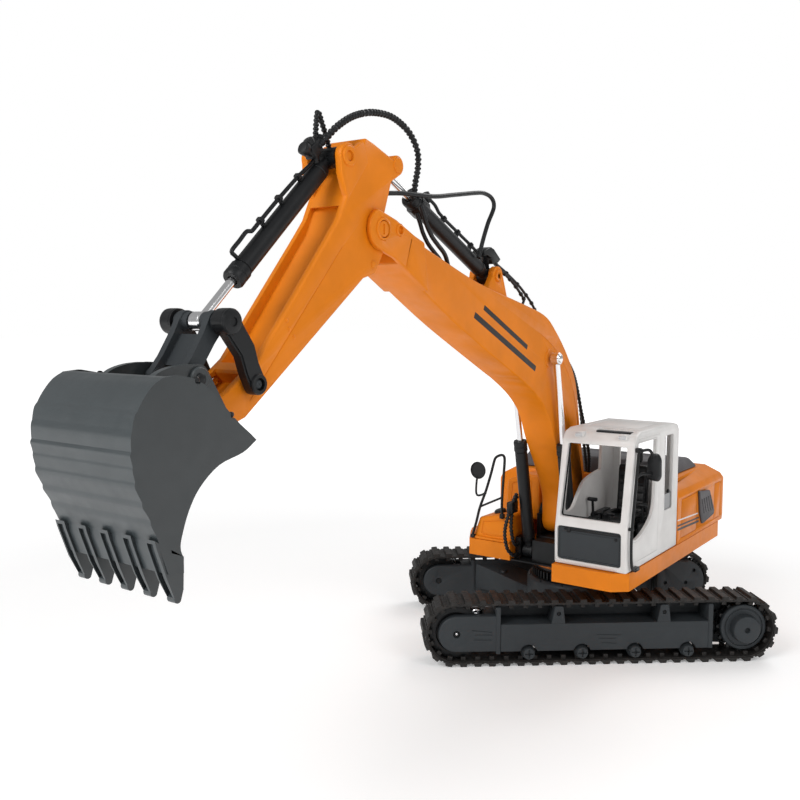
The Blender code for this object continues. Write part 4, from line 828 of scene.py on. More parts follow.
# --- Hoses --------------------------------------------------------------------------------------------
def clips(points, size):
    """Small square clips round a hose, at the given points and directions."""
    parts = []
    for point, ahead in points:
        ahead = Vector(ahead).normalized()
        parts.append(turned(Vector(point) - ahead * 0.0011, Vector(point) + ahead * 0.0011,
                            [(0.0, size * 0.8), (0.2, size), (0.8, size), (1.0, size * 0.8)], 10))
    return parts


def hoses():
    big = [(0.2292, 0.0048, 0.3075), (0.2280, 0.0050, 0.3130), (0.2270, 0.0050, 0.3175), (0.2249, 0.0050, 0.3248), (0.2250, 0.0050, 0.3330),
           (0.2301, 0.0050, 0.3403), (0.2382, 0.0050, 0.3453), (0.2500, 0.0050, 0.3484), (0.2631, 0.0050, 0.3481),
           (0.2739, 0.0050, 0.3459), (0.2844, 0.0050, 0.3419), (0.2945, 0.0045, 0.3356), (0.3011, 0.0035, 0.3294),
           (0.3050, 0.0020, 0.3252)]
    shape = hose(big, 0.0013, rib=0.00055, pitch=0.0022)
    dress("big_hose_loop", shape, BLACK, HOUSE, edge=0)
    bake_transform(shape)
    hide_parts("hose_loop_to_stick")
    small = [(0.3040, -0.0010, 0.3250), (0.3032, -0.0010, 0.3306), (0.3026, -0.0010, 0.3370), (0.3019, -0.0010, 0.3412), (0.3008, -0.0012, 0.3426),
             (0.2994, -0.0014, 0.3412), (0.2972, -0.0018, 0.3378), (0.2935, -0.0024, 0.3321), (0.2905, -0.0030, 0.3268)]
    piece("small_hose_loop", hose(small, 0.0011, rib=0.0004, pitch=0.0018), BLACK, "stick", ["hose_small_loop"], edge=0)
    over = [(0.2585, 0.0, 0.3076), (0.2525, 0.0, 0.3085), (0.2440, 0.0, 0.3094), (0.2380, 0.0, 0.3098), (0.2265, 0.0, 0.3102), (0.2096, 0.0, 0.3110), (0.1906, 0.0, 0.3138), (0.1678, 0.0, 0.3172),
            (0.1580, 0.0, 0.3182), (0.1500, 0.0, 0.3172), (0.1455, 0.0, 0.3145), (0.1447, 0.0, 0.3110), (0.1468, 0.0, 0.3072),
            (0.1515, 0.0, 0.3009), (0.1568, 0.0, 0.2914), (0.1608, 0.0, 0.2828), (0.1627, 0.0, 0.2785)]
    over = [(p[0], 0.0068 if i > 4 else 0.0034 + 0.0007 * i, p[2]) for i, p in enumerate(over)]
    shape = hose(over, 0.0013, pitch=0.0012)
    dress("hose_over", shape, BLACK, HOUSE, edge=0)
    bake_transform(shape)
    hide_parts("hose_over_cylinder")
    under = [(0.2275, 0.0088, 0.3040), (0.2250, 0.0094, 0.2985), (0.2222, 0.0094, 0.2935), (0.2166, 0.0090, 0.2880), (0.2090, 0.0082, 0.2836),
             (0.2020, 0.0070, 0.2804), (0.1968, 0.0056, 0.2772), (0.1930, 0.0046, 0.2722)]
    parts = [hose(under, 0.0013, pitch=0.0012), hose([(p[0] - 0.0010, p[1] - 0.0034, p[2] - 0.0036) for p in under], 0.0012, pitch=0.0012)]
    piece("hose_under", gather(parts), BLACK, "boom", ["hose_under_cylinder"], edge=0)
    near = [(0.1410, 0.0030, 0.2800), (0.1340, 0.0030, 0.2762), (0.1282, 0.0030, 0.2724), (0.1222, 0.0030, 0.2700), (0.1146, 0.0030, 0.2664),
            (0.1067, 0.0030, 0.2617), (0.1000, 0.0030, 0.2570), (0.0971, 0.0030, 0.2545), (0.0985, 0.0030, 0.2520), (0.1010, 0.0030, 0.2480)]
    far = [(0.1380, -0.0020, 0.2810), (0.1327, -0.0020, 0.2784), (0.1238, -0.0020, 0.2762), (0.1085, -0.0020, 0.2700), (0.0941, -0.0020, 0.2632),
           (0.0824, -0.0020, 0.2561), (0.0755, -0.0020, 0.2512), (0.0718, -0.0020, 0.2470), (0.0735, -0.0020, 0.2440), (0.0790, -0.0020, 0.2425)]
    parts = [hose(near, 0.0009, pitch=0.0010), hose(far, 0.0009, pitch=0.0010)]
    for route in (near, far):
        dense = spline(route, 4)
        for i in range(7, len(dense) - 8, 4):
            parts.extend(clips([(dense[i], Vector(dense[i + 1]) - Vector(dense[i]))], 0.0014))
    knot = rounded(prism([(0.1345, 0.2775), (0.1315, 0.2795), (0.1400, 0.2856), (0.1440, 0.2868), (0.1500, 0.2850), (0.1528, 0.2838),
                          (0.1520, 0.2806), (0.1480, 0.2812), (0.1440, 0.2800), (0.1420, 0.2760)], -0.0042, 0.0048), 0.0007, 2)
    knot = join(knot, turned((0.1440, 0.0, 0.2830), (0.1400, 0.0, 0.2600), [(0.0, 0.0022), (1.0, 0.0022)], 20),
                turned((0.1362, 0.0, 0.2832), (0.1300, 0.0, 0.2790), [(0.0, 0.0030), (0.7, 0.0030), (1.0, 0.0022)], 20))
    piece("hoses_on_boom", gather(parts + [knot]), BLACK, "boom", ["hose_pair_on_boom"], edge=0)
    near = [(0.0345, 0.0040, 0.2010), (0.0300, 0.0046, 0.2030), (0.0250, 0.0050, 0.2010), (0.0172, 0.0060, 0.1871), (0.0100, 0.0060, 0.1718),
            (0.0030, 0.0060, 0.1580), (-0.0040, 0.0055, 0.1440), (-0.0080, 0.0050, 0.1330), (-0.0095, 0.0040, 0.1224)]
    far = [(0.0330, -0.0020, 0.2050), (0.0270, -0.0020, 0.2100), (0.0200, -0.0020, 0.2100), (0.0110, -0.0020, 0.2030), (0.0040, -0.0020, 0.1940),
           (-0.0030, -0.0020, 0.1800), (-0.0080, -0.0020, 0.1640), (-0.0110, -0.0010, 0.1450), (-0.0120, 0.0016, 0.1224)]
    for label, route in (("near", near), ("far", far)):
        drop = hose(route, 0.0011, rib=0.0003, pitch=0.0020)
        dress(f"house_hose_{label}", drop, BLACK, HOUSE, edge=0)
        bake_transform(drop)
        if label == "near":
            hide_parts("hose_pair_to_house")
    outer = [(0.0560, -0.0230, 0.1130), (0.0600, -0.0236, 0.1082), (0.0629, -0.0260, 0.0976), (0.0652, -0.0275, 0.0854),
             (0.0644, -0.0260, 0.0734), (0.0590, -0.0236, 0.0672), (0.0515, -0.0236, 0.0672)]
    inner = [(0.0545, -0.0235, 0.1110), (0.0575, -0.0242, 0.1050), (0.0596, -0.0250, 0.0973), (0.0605, -0.0250, 0.0880),
             (0.0593, -0.0240, 0.0790), (0.0560, -0.0236, 0.0745), (0.0515, -0.0236, 0.0745)]
    parts = [hose(outer, 0.0011, rib=0.0004, pitch=0.0020), hose(inner, 0.0011, rib=0.0004, pitch=0.0020)]
    piece("foot_hose_loops", gather(parts), BLACK, "house", ["hose_loops_at_foot"], edge=0)
    strap = rounded(block((0.0545, -0.0272, 0.0990), (0.0640, -0.0224, 0.1075)), 0.0008, 2)
    piece("foot_hose_clip", strap, BLACK, "house", edge=0)


# --- House -------------------------------------------------------------------------------------------
def framed(outline, width):
    """A closed outline drawn in by width, for panel lines and window rims."""
    count = len(outline)
    middle = (sum(p[0] for p in outline) / count, sum(p[1] for p in outline) / count)
    inner = []
    for i, point in enumerate(outline):
        a = Vector(point) - Vector(outline[i - 1])
        b = Vector(outline[(i + 1) % count]) - Vector(point)
        normal = Vector((-(a.normalized() + b.normalized()).y, (a.normalized() + b.normalized()).x)).normalized()
        if normal.dot(Vector(middle) - Vector(point)) < 0:
            normal = -normal
        inner.append((point[0] + normal.x * width, point[1] + normal.y * width))
    return inner


def filleted(corners, radius, steps=5):
    """A polygon with its corners rounded."""
    outline = []
    for i, corner in enumerate(corners):
        corner = Vector(corner)
        before = (Vector(corners[i - 1]) - corner)
        after = (Vector(corners[(i + 1) % len(corners)]) - corner)
        reach = min(radius, before.length * 0.45, after.length * 0.45)
        start, stop = corner + before.normalized() * reach, corner + after.normalized() * reach
        for k in range(steps + 1):
            t = k / steps
            outline.append(tuple(start * (1 - t) ** 2 + corner * 2 * t * (1 - t) + stop * t * t))
    return outline


def panel_line(outline, low, high, across="y", width=0.0004):
    """The material to cut away for an engraved line round a panel."""
    return cut(prism(outline, low, high, across), prism(framed(outline, width), low - 0.001, high + 0.001, across))


def engine_housing():
    """Rounded engine housing with access doors, a slotted rear grille, a filler cap and lamps."""
    front, top, shoulder = -0.0106, 0.1205, 0.1142
    side = prism([(front, DECK_TOP), (-0.1195, DECK_TOP), (-0.1262, 0.0925), (-0.1235, 0.1060), (-0.1180, shoulder),
                  (-0.1140, top), (front, top)], -0.08, 0.08)
    section = prism([(-HOUSE_HALF, 0.07), (HOUSE_HALF, 0.07), (HOUSE_HALF, 0.1100), (0.0725, shoulder), (0.0610, top),
                     (-0.0610, top), (-0.0725, shoulder), (-HOUSE_HALF, 0.1100)], -0.14, 0.01, "x")
    plan = prism(filleted([(0.01, 0.08), (-0.1175, 0.08), (-0.1265, 0.0660), (-0.1266, 0.0), (-0.1265, -0.0660),
                           (-0.1175, -0.08), (0.01, -0.08)], 0.008), 0.06, 0.13, "z")
    shell = rounded(overlap_of(side, section, plan), 0.0012, 3, 18)
    room = block((-0.1140, -0.0710, 0.0700), (front - 0.0030, 0.0710, 0.1085))
    upper = block((-0.1080, -0.0600, 0.1050), (front - 0.0030, 0.0600, 0.1170))
    shell = cut(shell, join(room, upper))
    for y in (1, -1):
        low, high = sorted((y * (HOUSE_HALF - 0.0004), y * (HOUSE_HALF + 0.002)))
        door = filleted([(-0.0185, 0.0785), (-0.0540, 0.0785), (-0.0540, 0.1080), (-0.0185, 0.1080)], 0.0030)
        shell = cut(shell, panel_line(door, low, high))
        rear = filleted([(-0.0970, 0.0785), (-0.1130, 0.0785), (-0.1130, 0.1080), (-0.0970, 0.1080)], 0.0025)
        shell = cut(shell, panel_line(rear, low, high))
        slots = [prism(filleted([(-0.0150 - 0.0038 * n, 0.1172), (-0.0170 - 0.0038 * n, 0.1172), (-0.0170 - 0.0038 * n, 0.1192),
                                 (-0.0150 - 0.0038 * n, 0.1192)], 0.0007, 3), *sorted((y * 0.0560, y * 0.0800))) for n in range(4)]
        shell = cut(shell, *slots)
    grille = [block((-0.1300, -0.0340, z), (-0.1242, 0.0340, z + 0.0016)) for z in (0.0850, 0.0882, 0.0914, 0.0946, 0.0978, 0.1010)]
    shell = cut(shell, *grille)
    hatch = filleted([(-0.0400, 0.0800), (0.0400, 0.0800), (0.0400, 0.1052), (-0.0400, 0.1052)], 0.0030)
    shell = cut(shell, panel_line(hatch, -0.1300, -0.1249, "x"))
    cap = turned((-0.1060, -0.0420, 0.1195), (-0.1060, -0.0420, 0.1232), [(0.0, 0.0052), (0.6, 0.0052), (0.8, 0.0048), (1.0, 0.0046)], 40)
    piece("engine_housing", shell, ORANGE, "house", ["rear_body"], edge=0.00015)
    notched = cut(cap, *[rod((-0.1060 + 0.0052 * math.cos(a), -0.0420 + 0.0052 * math.sin(a), 0.1180),
                             (-0.1060 + 0.0052 * math.cos(a), -0.0420 + 0.0052 * math.sin(a), 0.1240), 0.0006, 10)
                         for a in (math.radians(30 * n) for n in range(12))])
    piece("filler_cap", notched, BLACK, "house", edge=0.0001)
    lamps = [rounded(block((-0.1272, *sorted((y * 0.0480, y * 0.0600))[:1], 0.0950), (-0.1240, sorted((y * 0.0480, y * 0.0600))[1], 0.1010)),
                     0.0006, 2) for y in (1, -1)]
    piece("rear_lamps", gather(lamps), LAMP, "house", edge=0)
    for label, y in (("left", 1), ("right", -1)):
        face = y * HOUSE_HALF
        white = prism([(-0.0112, 0.0938), (-0.0574, 0.0912), (-0.0571, 0.0902), (-0.0112, 0.0928)], *sorted((face - y * 0.0002, face + y * 0.00006)))
        piece(f"side_line_{label}", white, WHITE, "house", edge=0)
        dark = [prism([(-0.0112, high), (-0.0598, high - 0.0022), (-0.0598, high - 0.0022 - tall), (-0.0112, high - tall)],
                      *sorted((face - y * 0.0002, face + y * 0.00006))) for high, tall in ((0.0898, 0.0013), (0.0872, 0.0017))]
        piece(f"side_bars_{label}", gather(dark), INK, "house", edge=0)
        outline = filleted([(-0.0549, 0.1086), (-0.0804, 0.1056), (-0.0938, 0.0872), (-0.0920, 0.0841), (-0.0644, 0.0811),
                            (-0.0585, 0.0907)], 0.0016)
        cover = rounded(prism(outline, *sorted((y * (HOUSE_HALF + 0.0002), y * (HOUSE_HALF + 0.0018)))), 0.0005, 3)
        blades = []
        for n in range(5):
            x = -0.0650 - 0.0052 * n
            slit = filleted([(x + 0.0050, 0.1015), (x - 0.0014, 0.0890), (x - 0.0028, 0.0890), (x + 0.0036, 0.1015)], 0.0006, 3)
            blades.append(prism(slit, *sorted((y * (HOUSE_HALF + 0.0012), y * (HOUSE_HALF + 0.003)))))
        piece(f"vent_cover_{label}", cut(cover, *blades), GREY, "house", [f"vent_panel_{label}"], edge=0.0001)


def hood():
    """Low hood with rounded shoulders, a raised middle and louvres at its tail."""
    body = block((-0.0980, -0.0605, 0.1208), (-0.0180, 0.0605, 0.1330))
    for vertex in body.data.vertices:
        if vertex.co.z > 0.1300:
            vertex.co.y *= 0.90
            rear = vertex.co.x < -0.0500
            vertex.co.x += 0.0060 if rear else -0.0040
            vertex.co.z = 0.1285 if rear else 0.1335
    body = rounded(body, 0.0022, 4)
    slots = [prism(filleted([(-0.0760 - 0.0034 * n, -0.0400), (-0.0744 - 0.0034 * n, -0.0400), (-0.0744 - 0.0034 * n, 0.0400),
                             (-0.0760 - 0.0034 * n, 0.0400)], 0.0006, 3), 0.1278, 0.1400, "z") for n in range(5)]
    line = filleted([(-0.0640, -0.0440), (-0.0270, -0.0440), (-0.0270, 0.0440), (-0.0640, 0.0440)], 0.0040)
    groove = panel_line(line, 0.1300, 0.1400, "z")
    body = cut(body, *slots)
    shallow = groove
    for vertex in shallow.data.vertices:
        if vertex.co.z < 0.1350:
            vertex.co.z = 0.1335 - 0.00045 + (vertex.co.x + 0.0220) * 0.0714 * 0.96
    piece("hood_cover", cut(body, shallow), GREY, "house", ["engine_hood"], edge=0.0001)
    handles = [hose([(-0.0420, y, 0.1300), (-0.0420, y, 0.1352), (-0.0460, y, 0.1360), (-0.0500, y, 0.1352), (-0.0500, y, 0.1300)], 0.0008,
                    pitch=0.0006, sides=10) for y in (0.0300, -0.0300)]
    piece("hood_handles", gather(handles), BLACK, "house", edge=0)


def toolbox():
    """Low tank with a ledge, lid, cap and door lines, and the raised housing beside the boom."""
    front = 0.0560
    section = [(-0.0275, DECK_TOP), (-0.0275, 0.0960), (-0.0330, 0.0960), (-0.0545, 0.0915), (-0.0605, DECK_TOP)]
    tank = rounded(prism(section, -0.0100, front, "x"), 0.0014, 4, 12)
    raised = [(-0.0158, 0.0900), (-0.0158, 0.1240), (-0.0300, 0.1240), (-0.0430, 0.1180), (-0.0450, 0.0900)]
    raised = rounded(prism(raised, -0.0104, 0.0340, "x"), 0.0016, 4, 12)
    box = join(tank, raised)
    door = filleted([(-0.0530, 0.0785), (-0.0320, 0.0785), (-0.0320, 0.0915), (-0.0515, 0.0885)], 0.0016)
    box = cut(box, panel_line(door, front - 0.0004, front + 0.001, "x"))
    flap = filleted([(-0.0400, 0.0990), (-0.0220, 0.0990), (-0.0220, 0.1190), (-0.0385, 0.1165)], 0.0018)
    box = cut(box, panel_line(flap, 0.0336, 0.0350, "x"))
    louvres = [block((0.0020 + 0.0040 * n, -0.0400, 0.1236), (0.0036 + 0.0040 * n, -0.0200, 0.1250)) for n in range(6)]
    box = cut(box, *louvres)
    piece("toolbox_body", box, ORANGE, "house", ["right_tank"], edge=0.00015)
    plan = filleted([(0.0580, -0.0275), (0.0580, -0.0608), (0.0360, -0.0738), (-0.0100, -0.0738), (-0.0100, -0.0275)], 0.0020)
    ledge = rounded(prism(plan, 0.0748, 0.0768, "z"), 0.0006, 3)
    piece("toolbox_ledge", ledge, ORANGE, "house", edge=0)
    cap = turned((0.0420, -0.0440, 0.0926), (0.0426, -0.0448, 0.0962), [(0.0, 0.0046), (0.7, 0.0046), (0.9, 0.0042), (1.0, 0.0036)], 32)
    piece("tank_cap", cap, BLACK, "house", edge=0.0001)
    steps = [rounded(block((x, -0.0725, 0.0768), (x + 0.0022, -0.0625, 0.0778)), 0.0004, 2) for x in (0.0240, 0.0180, 0.0120, 0.0060, 0.0000)]
    piece("step_ribs", gather(steps), BLACK, "house", edge=0)
    x, r = 0.0583, 0.0010
    rail = hose([(x, -0.0592, 0.0768), (x, -0.0585, 0.0800), (x, -0.0560, 0.0882), (x, -0.0530, 0.0995), (x, -0.0480, 0.1125), (x, -0.0437, 0.1260),
                 (x, -0.0408, 0.1365), (x, -0.0392, 0.1390), (x, -0.0372, 0.1402), (x, -0.0345, 0.1410), (x, -0.0328, 0.1402), (x, -0.0322, 0.1370),
                 (x, -0.0328, 0.1273), (x, -0.0338, 0.1120), (x, -0.0342, 0.1020), (x - 0.0012, -0.0344, 0.0960)], r, pitch=0.0010)
    bar = rod((x, -0.0528, 0.1000), (x, -0.0333, 0.1095), 0.0008, 14)
    stalk = hose([(x, -0.0478, 0.1112), (x, -0.0520, 0.1090), (x, -0.0552, 0.1084), (x, -0.0564, 0.1102), (x, -0.0565, 0.1140), (x, -0.0560, 0.1200),
                  (x, -0.0552, 0.1240)], 0.0008, pitch=0.0008)
    feet = [rounded(block((0.0565, -0.0608, 0.0755), (0.0595, -0.0574, 0.0780)), 0.0004, 2),
            rounded(block((0.0556, -0.0360, 0.0930), (0.0588, -0.0328, 0.0966)), 0.0004, 2)]
    piece("tank_rail", gather([rail, bar, stalk] + feet), BLACK, "house", ["right_handrail"], edge=0)
    shell = turned((x - 0.0024, -0.0546, 0.1276), (x + 0.0012, -0.0546, 0.1276),
                   [(0.0, 0.0022), (0.2, 0.0048), (0.6, 0.0062), (0.85, 0.0066), (1.0, 0.0063)], 44)
    well = rod((x + 0.0004, -0.0546, 0.1276), (x + 0.0020, -0.0546, 0.1276), 0.0058, 44)
    piece("round_mirror", cut(shell, well), BLACK, "house", edge=0.0001)


def bracket():
    """Casting that carries the boom foot and both cylinder stubs, with capped pins."""
    base = rounded(block((0.0060, -0.0152, DECK_TOP), (0.0400, 0.0152, 0.0800)), 0.0008, 2)
    nose = block((0.0400, -0.0262, 0.0626), (0.0580, 0.0215, 0.0636))
    nose = join(nose, block((0.0399, -0.0262, 0.0630), (0.0510, -0.0220, 0.0790)),
                block((0.0398, -0.0112, 0.0630), (0.0530, 0.0112, 0.0790)))
    cheek = [(0.0085, 0.0790), (0.0085, 0.0960)] + arc(FOOT, 0.0110, 170, 10, 20) + [(0.0385, 0.0960), (0.0385, 0.0790)]
    parts = []
    for side in (1, -1):
        plate = prism(cheek, *sorted((side * 0.0122, side * 0.0152)))
        boss = turned((FOOT[0], side * 0.0148, FOOT[1]), (FOOT[0], side * 0.0162, FOOT[1]), [(0.0, 0.0064), (0.6, 0.0064), (1.0, 0.0058)], 36)
        well = turned((FOOT[0], side * 0.0156, FOOT[1]), (FOOT[0], side * 0.0166, FOOT[1]), [(0.0, 0.0034), (1.0, 0.0036)], 30)
        parts.append(cut(join(plate, boss), well))
    pins = [cross_rod(FOOT, 0.0030, -0.0150, 0.0150, 30), cross_rod(BOOM_CYL_BASE, 0.0020, -0.0225, 0.0212, 24)]
    piece("boom_mount", join(base, nose, *parts, *pins), BLACK, "house", ["boom_bracket"], edge=0.0002)


def cab():
    """White cab with rounded posts, rimmed windows, roof lamps and a dark lower panel."""
    low, high = CAB_Y
    wall = 0.0024
    side = [(-0.0100, DECK_TOP), (0.0850, DECK_TOP), (0.0855, 0.0985), (0.0752, 0.1600), (0.0715, 0.1650), (0.0640, 0.1670),
            (0.0, 0.1670), (-0.0070, 0.1655), (-0.0100, 0.1620)]
    shell = rounded(prism(side, low, high), 0.0016, 4, 22)
    room = [(-0.0076, 0.0774), (0.0826, 0.0774), (0.0831, 0.0982), (0.0730, 0.1590), (0.0700, 0.1632), (0.0640, 0.1646),
            (-0.0050, 0.1646), (-0.0076, 0.1625)]
    shell = cut(shell, prism(room, low + wall, high - wall))
    upper = filleted([(0.0255, 0.1078), (0.0692, 0.1078), (0.0694, 0.1575), (0.0270, 0.1575)], 0.0020)
    lower = filleted([(0.0244, 0.0784), (0.0704, 0.0784), (0.0704, 0.1016), (0.0244, 0.1016)], 0.0026)
    door = [(0.0690, 0.1596), (0.0787, 0.1020), (0.0786, 0.0990), (0.0762, 0.0966), (0.0700, 0.0952), (0.0622, 0.0966),
            (0.0545, 0.0992), (0.0470, 0.1028), (0.0410, 0.1076), (0.0375, 0.1150), (0.0366, 0.1260), (0.0362, 0.1400), (0.0362, 0.1596)]
    door = spline(door[1:12], 3) + [door[12], door[0]]
    rear = filleted([(0.0024, 0.1058), (0.0180, 0.1058), (0.0186, 0.1596), (0.0024, 0.1596)], 0.0020)
    inner = spline([(0.0715, 0.1240), (0.0735, 0.1120), (0.0690, 0.1082), (0.0600, 0.1098), (0.0520, 0.1180), (0.0420, 0.1256), (0.0260, 0.1290),
                    (0.0140, 0.1302)], 4) + [(0.0120, 0.1570), (0.0660, 0.1570)]
    back = filleted([(0.0300, 0.1290), (0.0660, 0.1290), (0.0660, 0.1580), (0.0300, 0.1580)], 0.0025)
    shell = cut(shell, prism(upper, 0.06, 0.10, "x"), prism(lower, 0.0700, 0.10, "x"), prism(door, high - 0.01, high + 0.01),
                prism(rear, high - 0.01, high + 0.01), prism(inner, low - 0.01, low + 0.01), prism(back, -0.02, 0.0, "x"))
    outer = framed(door, -0.0016)
    lip = cut(prism(outer, high - 0.0004, high + 0.002), prism(framed(door, -0.0012), high - 0.001, high + 0.003))
    door_line = [(0.0300, 0.0800), (0.0300, 0.1625), (0.0695, 0.1625), (0.0802, 0.0985), (0.0802, 0.0800)]
    leaf = cut(prism(door_line, high - 0.0003, high + 0.002), prism(framed(door_line, 0.0003), high - 0.001, high + 0.003))
    roof_slot = prism(filleted([(0.0560, 0.0430), (0.0720, 0.0430), (0.0720, 0.0700), (0.0560, 0.0700)], 0.0015), 0.1662, 0.1690, "z")
    hatch = filleted([(0.0080, 0.0300), (0.0480, 0.0300), (0.0480, 0.0670), (0.0080, 0.0670)], 0.0030)
    shell = cut(shell, lip, leaf, roof_slot, panel_line(hatch, 0.1665, 0.1690, "z"))
    piece("cab_shell", shell, WHITE, "house", ["cab_frame"], edge=0.00025, segments=2)
    slot = prism(filleted([(0.0640, 0.0445), (0.0700, 0.0445), (0.0700, 0.0690), (0.0640, 0.0690)], 0.0012), 0.1650, 0.1666, "z")
    piece("roof_slot_insert", slot, BLACK, "house", edge=0.0001)
    lamps, lenses = [], []
    for y in (0.0345, 0.0655):
        case = rounded(block((0.0700, y - 0.0034, 0.1618), (0.0752, y + 0.0034, 0.1656)), 0.0006, 2)
        lamps.append(case)
        lens = rounded(block((0.0744, y - 0.0026, 0.1624), (0.0758, y + 0.0026, 0.1650)), 0.0005, 2)
        lenses.append(lens)
    piece("roof_lamp_cases", gather(lamps), WHITE, "house", edge=0)
    piece("roof_lamp_lenses", gather(lenses), LAMP, "house", edge=0)
    seal = cut(prism(framed(upper, -0.0001), 0.06, 0.10, "x"), prism(framed(upper, 0.0006), 0.05, 0.11, "x"))
    slab = prism([(0.0812, 0.1000), (0.0822, 0.1000), (0.0722, 0.1600), (0.0712, 0.1600)], 0.02, 0.08)
    piece("window_seal", overlap_of(seal, slab), BLACK, "house", edge=0)
    pane_shape = filleted([(0.0018, 0.1052), (0.0184, 0.1052), (0.0184, 0.1172), (0.0018, 0.1172)], 0.0010)
    piece("rear_side_pane", prism(pane_shape, high - 0.0016, high - 0.0008), PANE, "house", edge=0.0001)
    frame_bar = [rounded(block((0.0132, high - 0.0034, 0.1172), (0.0152, high - 0.0016, 0.1596)), 0.0003, 2),
                 turned((0.0074, high - 0.0020, 0.1182), (0.0074, high - 0.0002, 0.1182), [(0.0, 0.0013), (0.6, 0.0015), (1.0, 0.0010)], 24)]
    piece("rear_side_latch", gather(frame_bar), BLACK, "house", edge=0)
    sheet = prism(filleted([(0.0247, 0.0787), (0.0701, 0.0787), (0.0701, 0.1013), (0.0247, 0.1013)], 0.0024), 0.0822, 0.0840, "x")
    step = panel_line(filleted([(0.0258, 0.0798), (0.0690, 0.0798), (0.0690, 0.0978), (0.0258, 0.0978)], 0.0020), 0.0837, 0.0850, "x")
    piece("lower_front_panel", cut(sheet, step), SLATE, "house", ["cab_lower_panel"], edge=0.0001)
    trims = [rounded(block((0.0838, 0.0290, 0.0988), (0.0846, 0.0690, 0.1004)), 0.0003, 2),
             rounded(block((0.0838, 0.0312, 0.0974), (0.0849, 0.0338, 0.1006)), 0.0003, 2),
             rounded(block((0.0838, 0.0652, 0.0958), (0.0846, 0.0672, 0.0976)), 0.0003, 2)]
    piece("lower_panel_trims", gather(trims), BLACK, "house", edge=0)


def cab_inside():
    mat = rounded(block((-0.0060, 0.0252, 0.0779), (0.0780, 0.0714, 0.0795)), 0.0003, 2)
    ribs = [block((-0.0040 + 0.0040 * n, 0.0270, 0.0794), (-0.0024 + 0.0040 * n, 0.0696, 0.0798)) for n in range(20)]
    parts = [mat] + ribs
    for y in (0.0270, 0.0640):
        parts.append(rounded(block((0.0100, y, 0.0790), (0.0420, y + 0.0055, 0.1000)), 0.0012, 3))
        parts.append(rounded(block((0.0120, y + 0.0003, 0.1000), (0.0330, y + 0.0052, 0.1022)), 0.0009, 3))
    piece("cab_consoles", gather(parts), BLACK, "house", ["cab_interior"], edge=0)
    levers = []
    for y in (0.0297, 0.0668):
        levers.append(turned((0.0380, y, 0.0995), (0.0398, y, 0.1120), [(0.0, 0.0019), (0.1, 0.0019), (0.3, 0.0010), (0.9, 0.0009), (1.0, 0.0012)], 18))
        levers.append(rounded(block((0.0382, y - 0.0036, 0.1112), (0.0416, y + 0.0036, 0.1138)), 0.0009, 3))
    for y in (0.0440, 0.0520):
        levers.append(turned((0.0640, y, 0.0790), (0.0600, y, 0.1080), [(0.0, 0.0012), (1.0, 0.0009)], 16))
        levers.append(rounded(block((0.0586, y - 0.0032, 0.1070), (0.0612, y + 0.0032, 0.1092)), 0.0008, 3))
        levers.append(rounded(prism([(0.0660, 0.0794), (0.0720, 0.0834), (0.0728, 0.0828), (0.0672, 0.0790)], y - 0.0028, y + 0.0028), 0.0004, 2))
    piece("cab_levers", gather(levers), BLACK, "house", edge=0)
    column = rounded(block((0.0640, 0.0400, 0.0790), (0.0700, 0.0560, 0.0960)), 0.0012, 3)
    dial = turned((0.0690, 0.0610, 0.0940), (0.0660, 0.0610, 0.0990), [(0.0, 0.0040), (0.3, 0.0048), (0.8, 0.0048), (1.0, 0.0040)], 28)
    post = rod((0.0700, 0.0640, 0.0790), (0.0680, 0.0625, 0.0960), 0.0016, 14)
    piece("cab_column", gather([column, dial, post]), SLATE, "house", edge=0)
    low, high = 0.0362, 0.0600
    base = rounded(prism([(0.0090, 0.0797), (0.0330, 0.0797), (0.0345, 0.0925), (0.0080, 0.0925)], low + 0.0030, high - 0.0030), 0.0016, 3)
    cushion = rounded(prism([(0.0110, 0.0930), (0.0395, 0.0938), (0.0402, 0.0985), (0.0375, 0.1012), (0.0160, 0.1000)], low, high), 0.0030, 5, 20)
    backrest = rounded(prism([(0.0082, 0.0985), (0.0150, 0.0985), (0.0120, 0.1320), (0.0104, 0.1352), (0.0066, 0.1352), (0.0056, 0.1320)],
                             low + 0.0010, high - 0.0010), 0.0026, 5, 20)
    head = rounded(prism([(0.0062, 0.1372), (0.0100, 0.1372), (0.0090, 0.1475), (0.0052, 0.1475)], low + 0.0060, high - 0.0060), 0.0018, 5, 20)
    stems = [rod((0.0080, y, 0.1340), (0.0078, y, 0.1385), 0.0007, 12) for y in (0.0450, 0.0512)]
    bolsters = [rounded(prism([(0.0150, 0.0990), (0.0380, 0.1000), (0.0372, 0.1034), (0.0150, 0.1030)], y, y + 0.0040), 0.0014, 4, 20)
                for y in (low - 0.0004, high - 0.0036)]
    grooves = [prism([(0.0090, 0.0985 + 0.0056 * n), (0.0160, 0.0985 + 0.0056 * n), (0.0160, 0.0991 + 0.0056 * n), (0.0128, 0.0991 + 0.0056 * n)],
                     low + 0.0030, high - 0.0030) for n in range(1, 6)]
    piece("driver_seat", gather([base, cushion, cut(backrest, *grooves), head] + stems + bolsters), BLACK, "house", ["cab_seat"], edge=0)


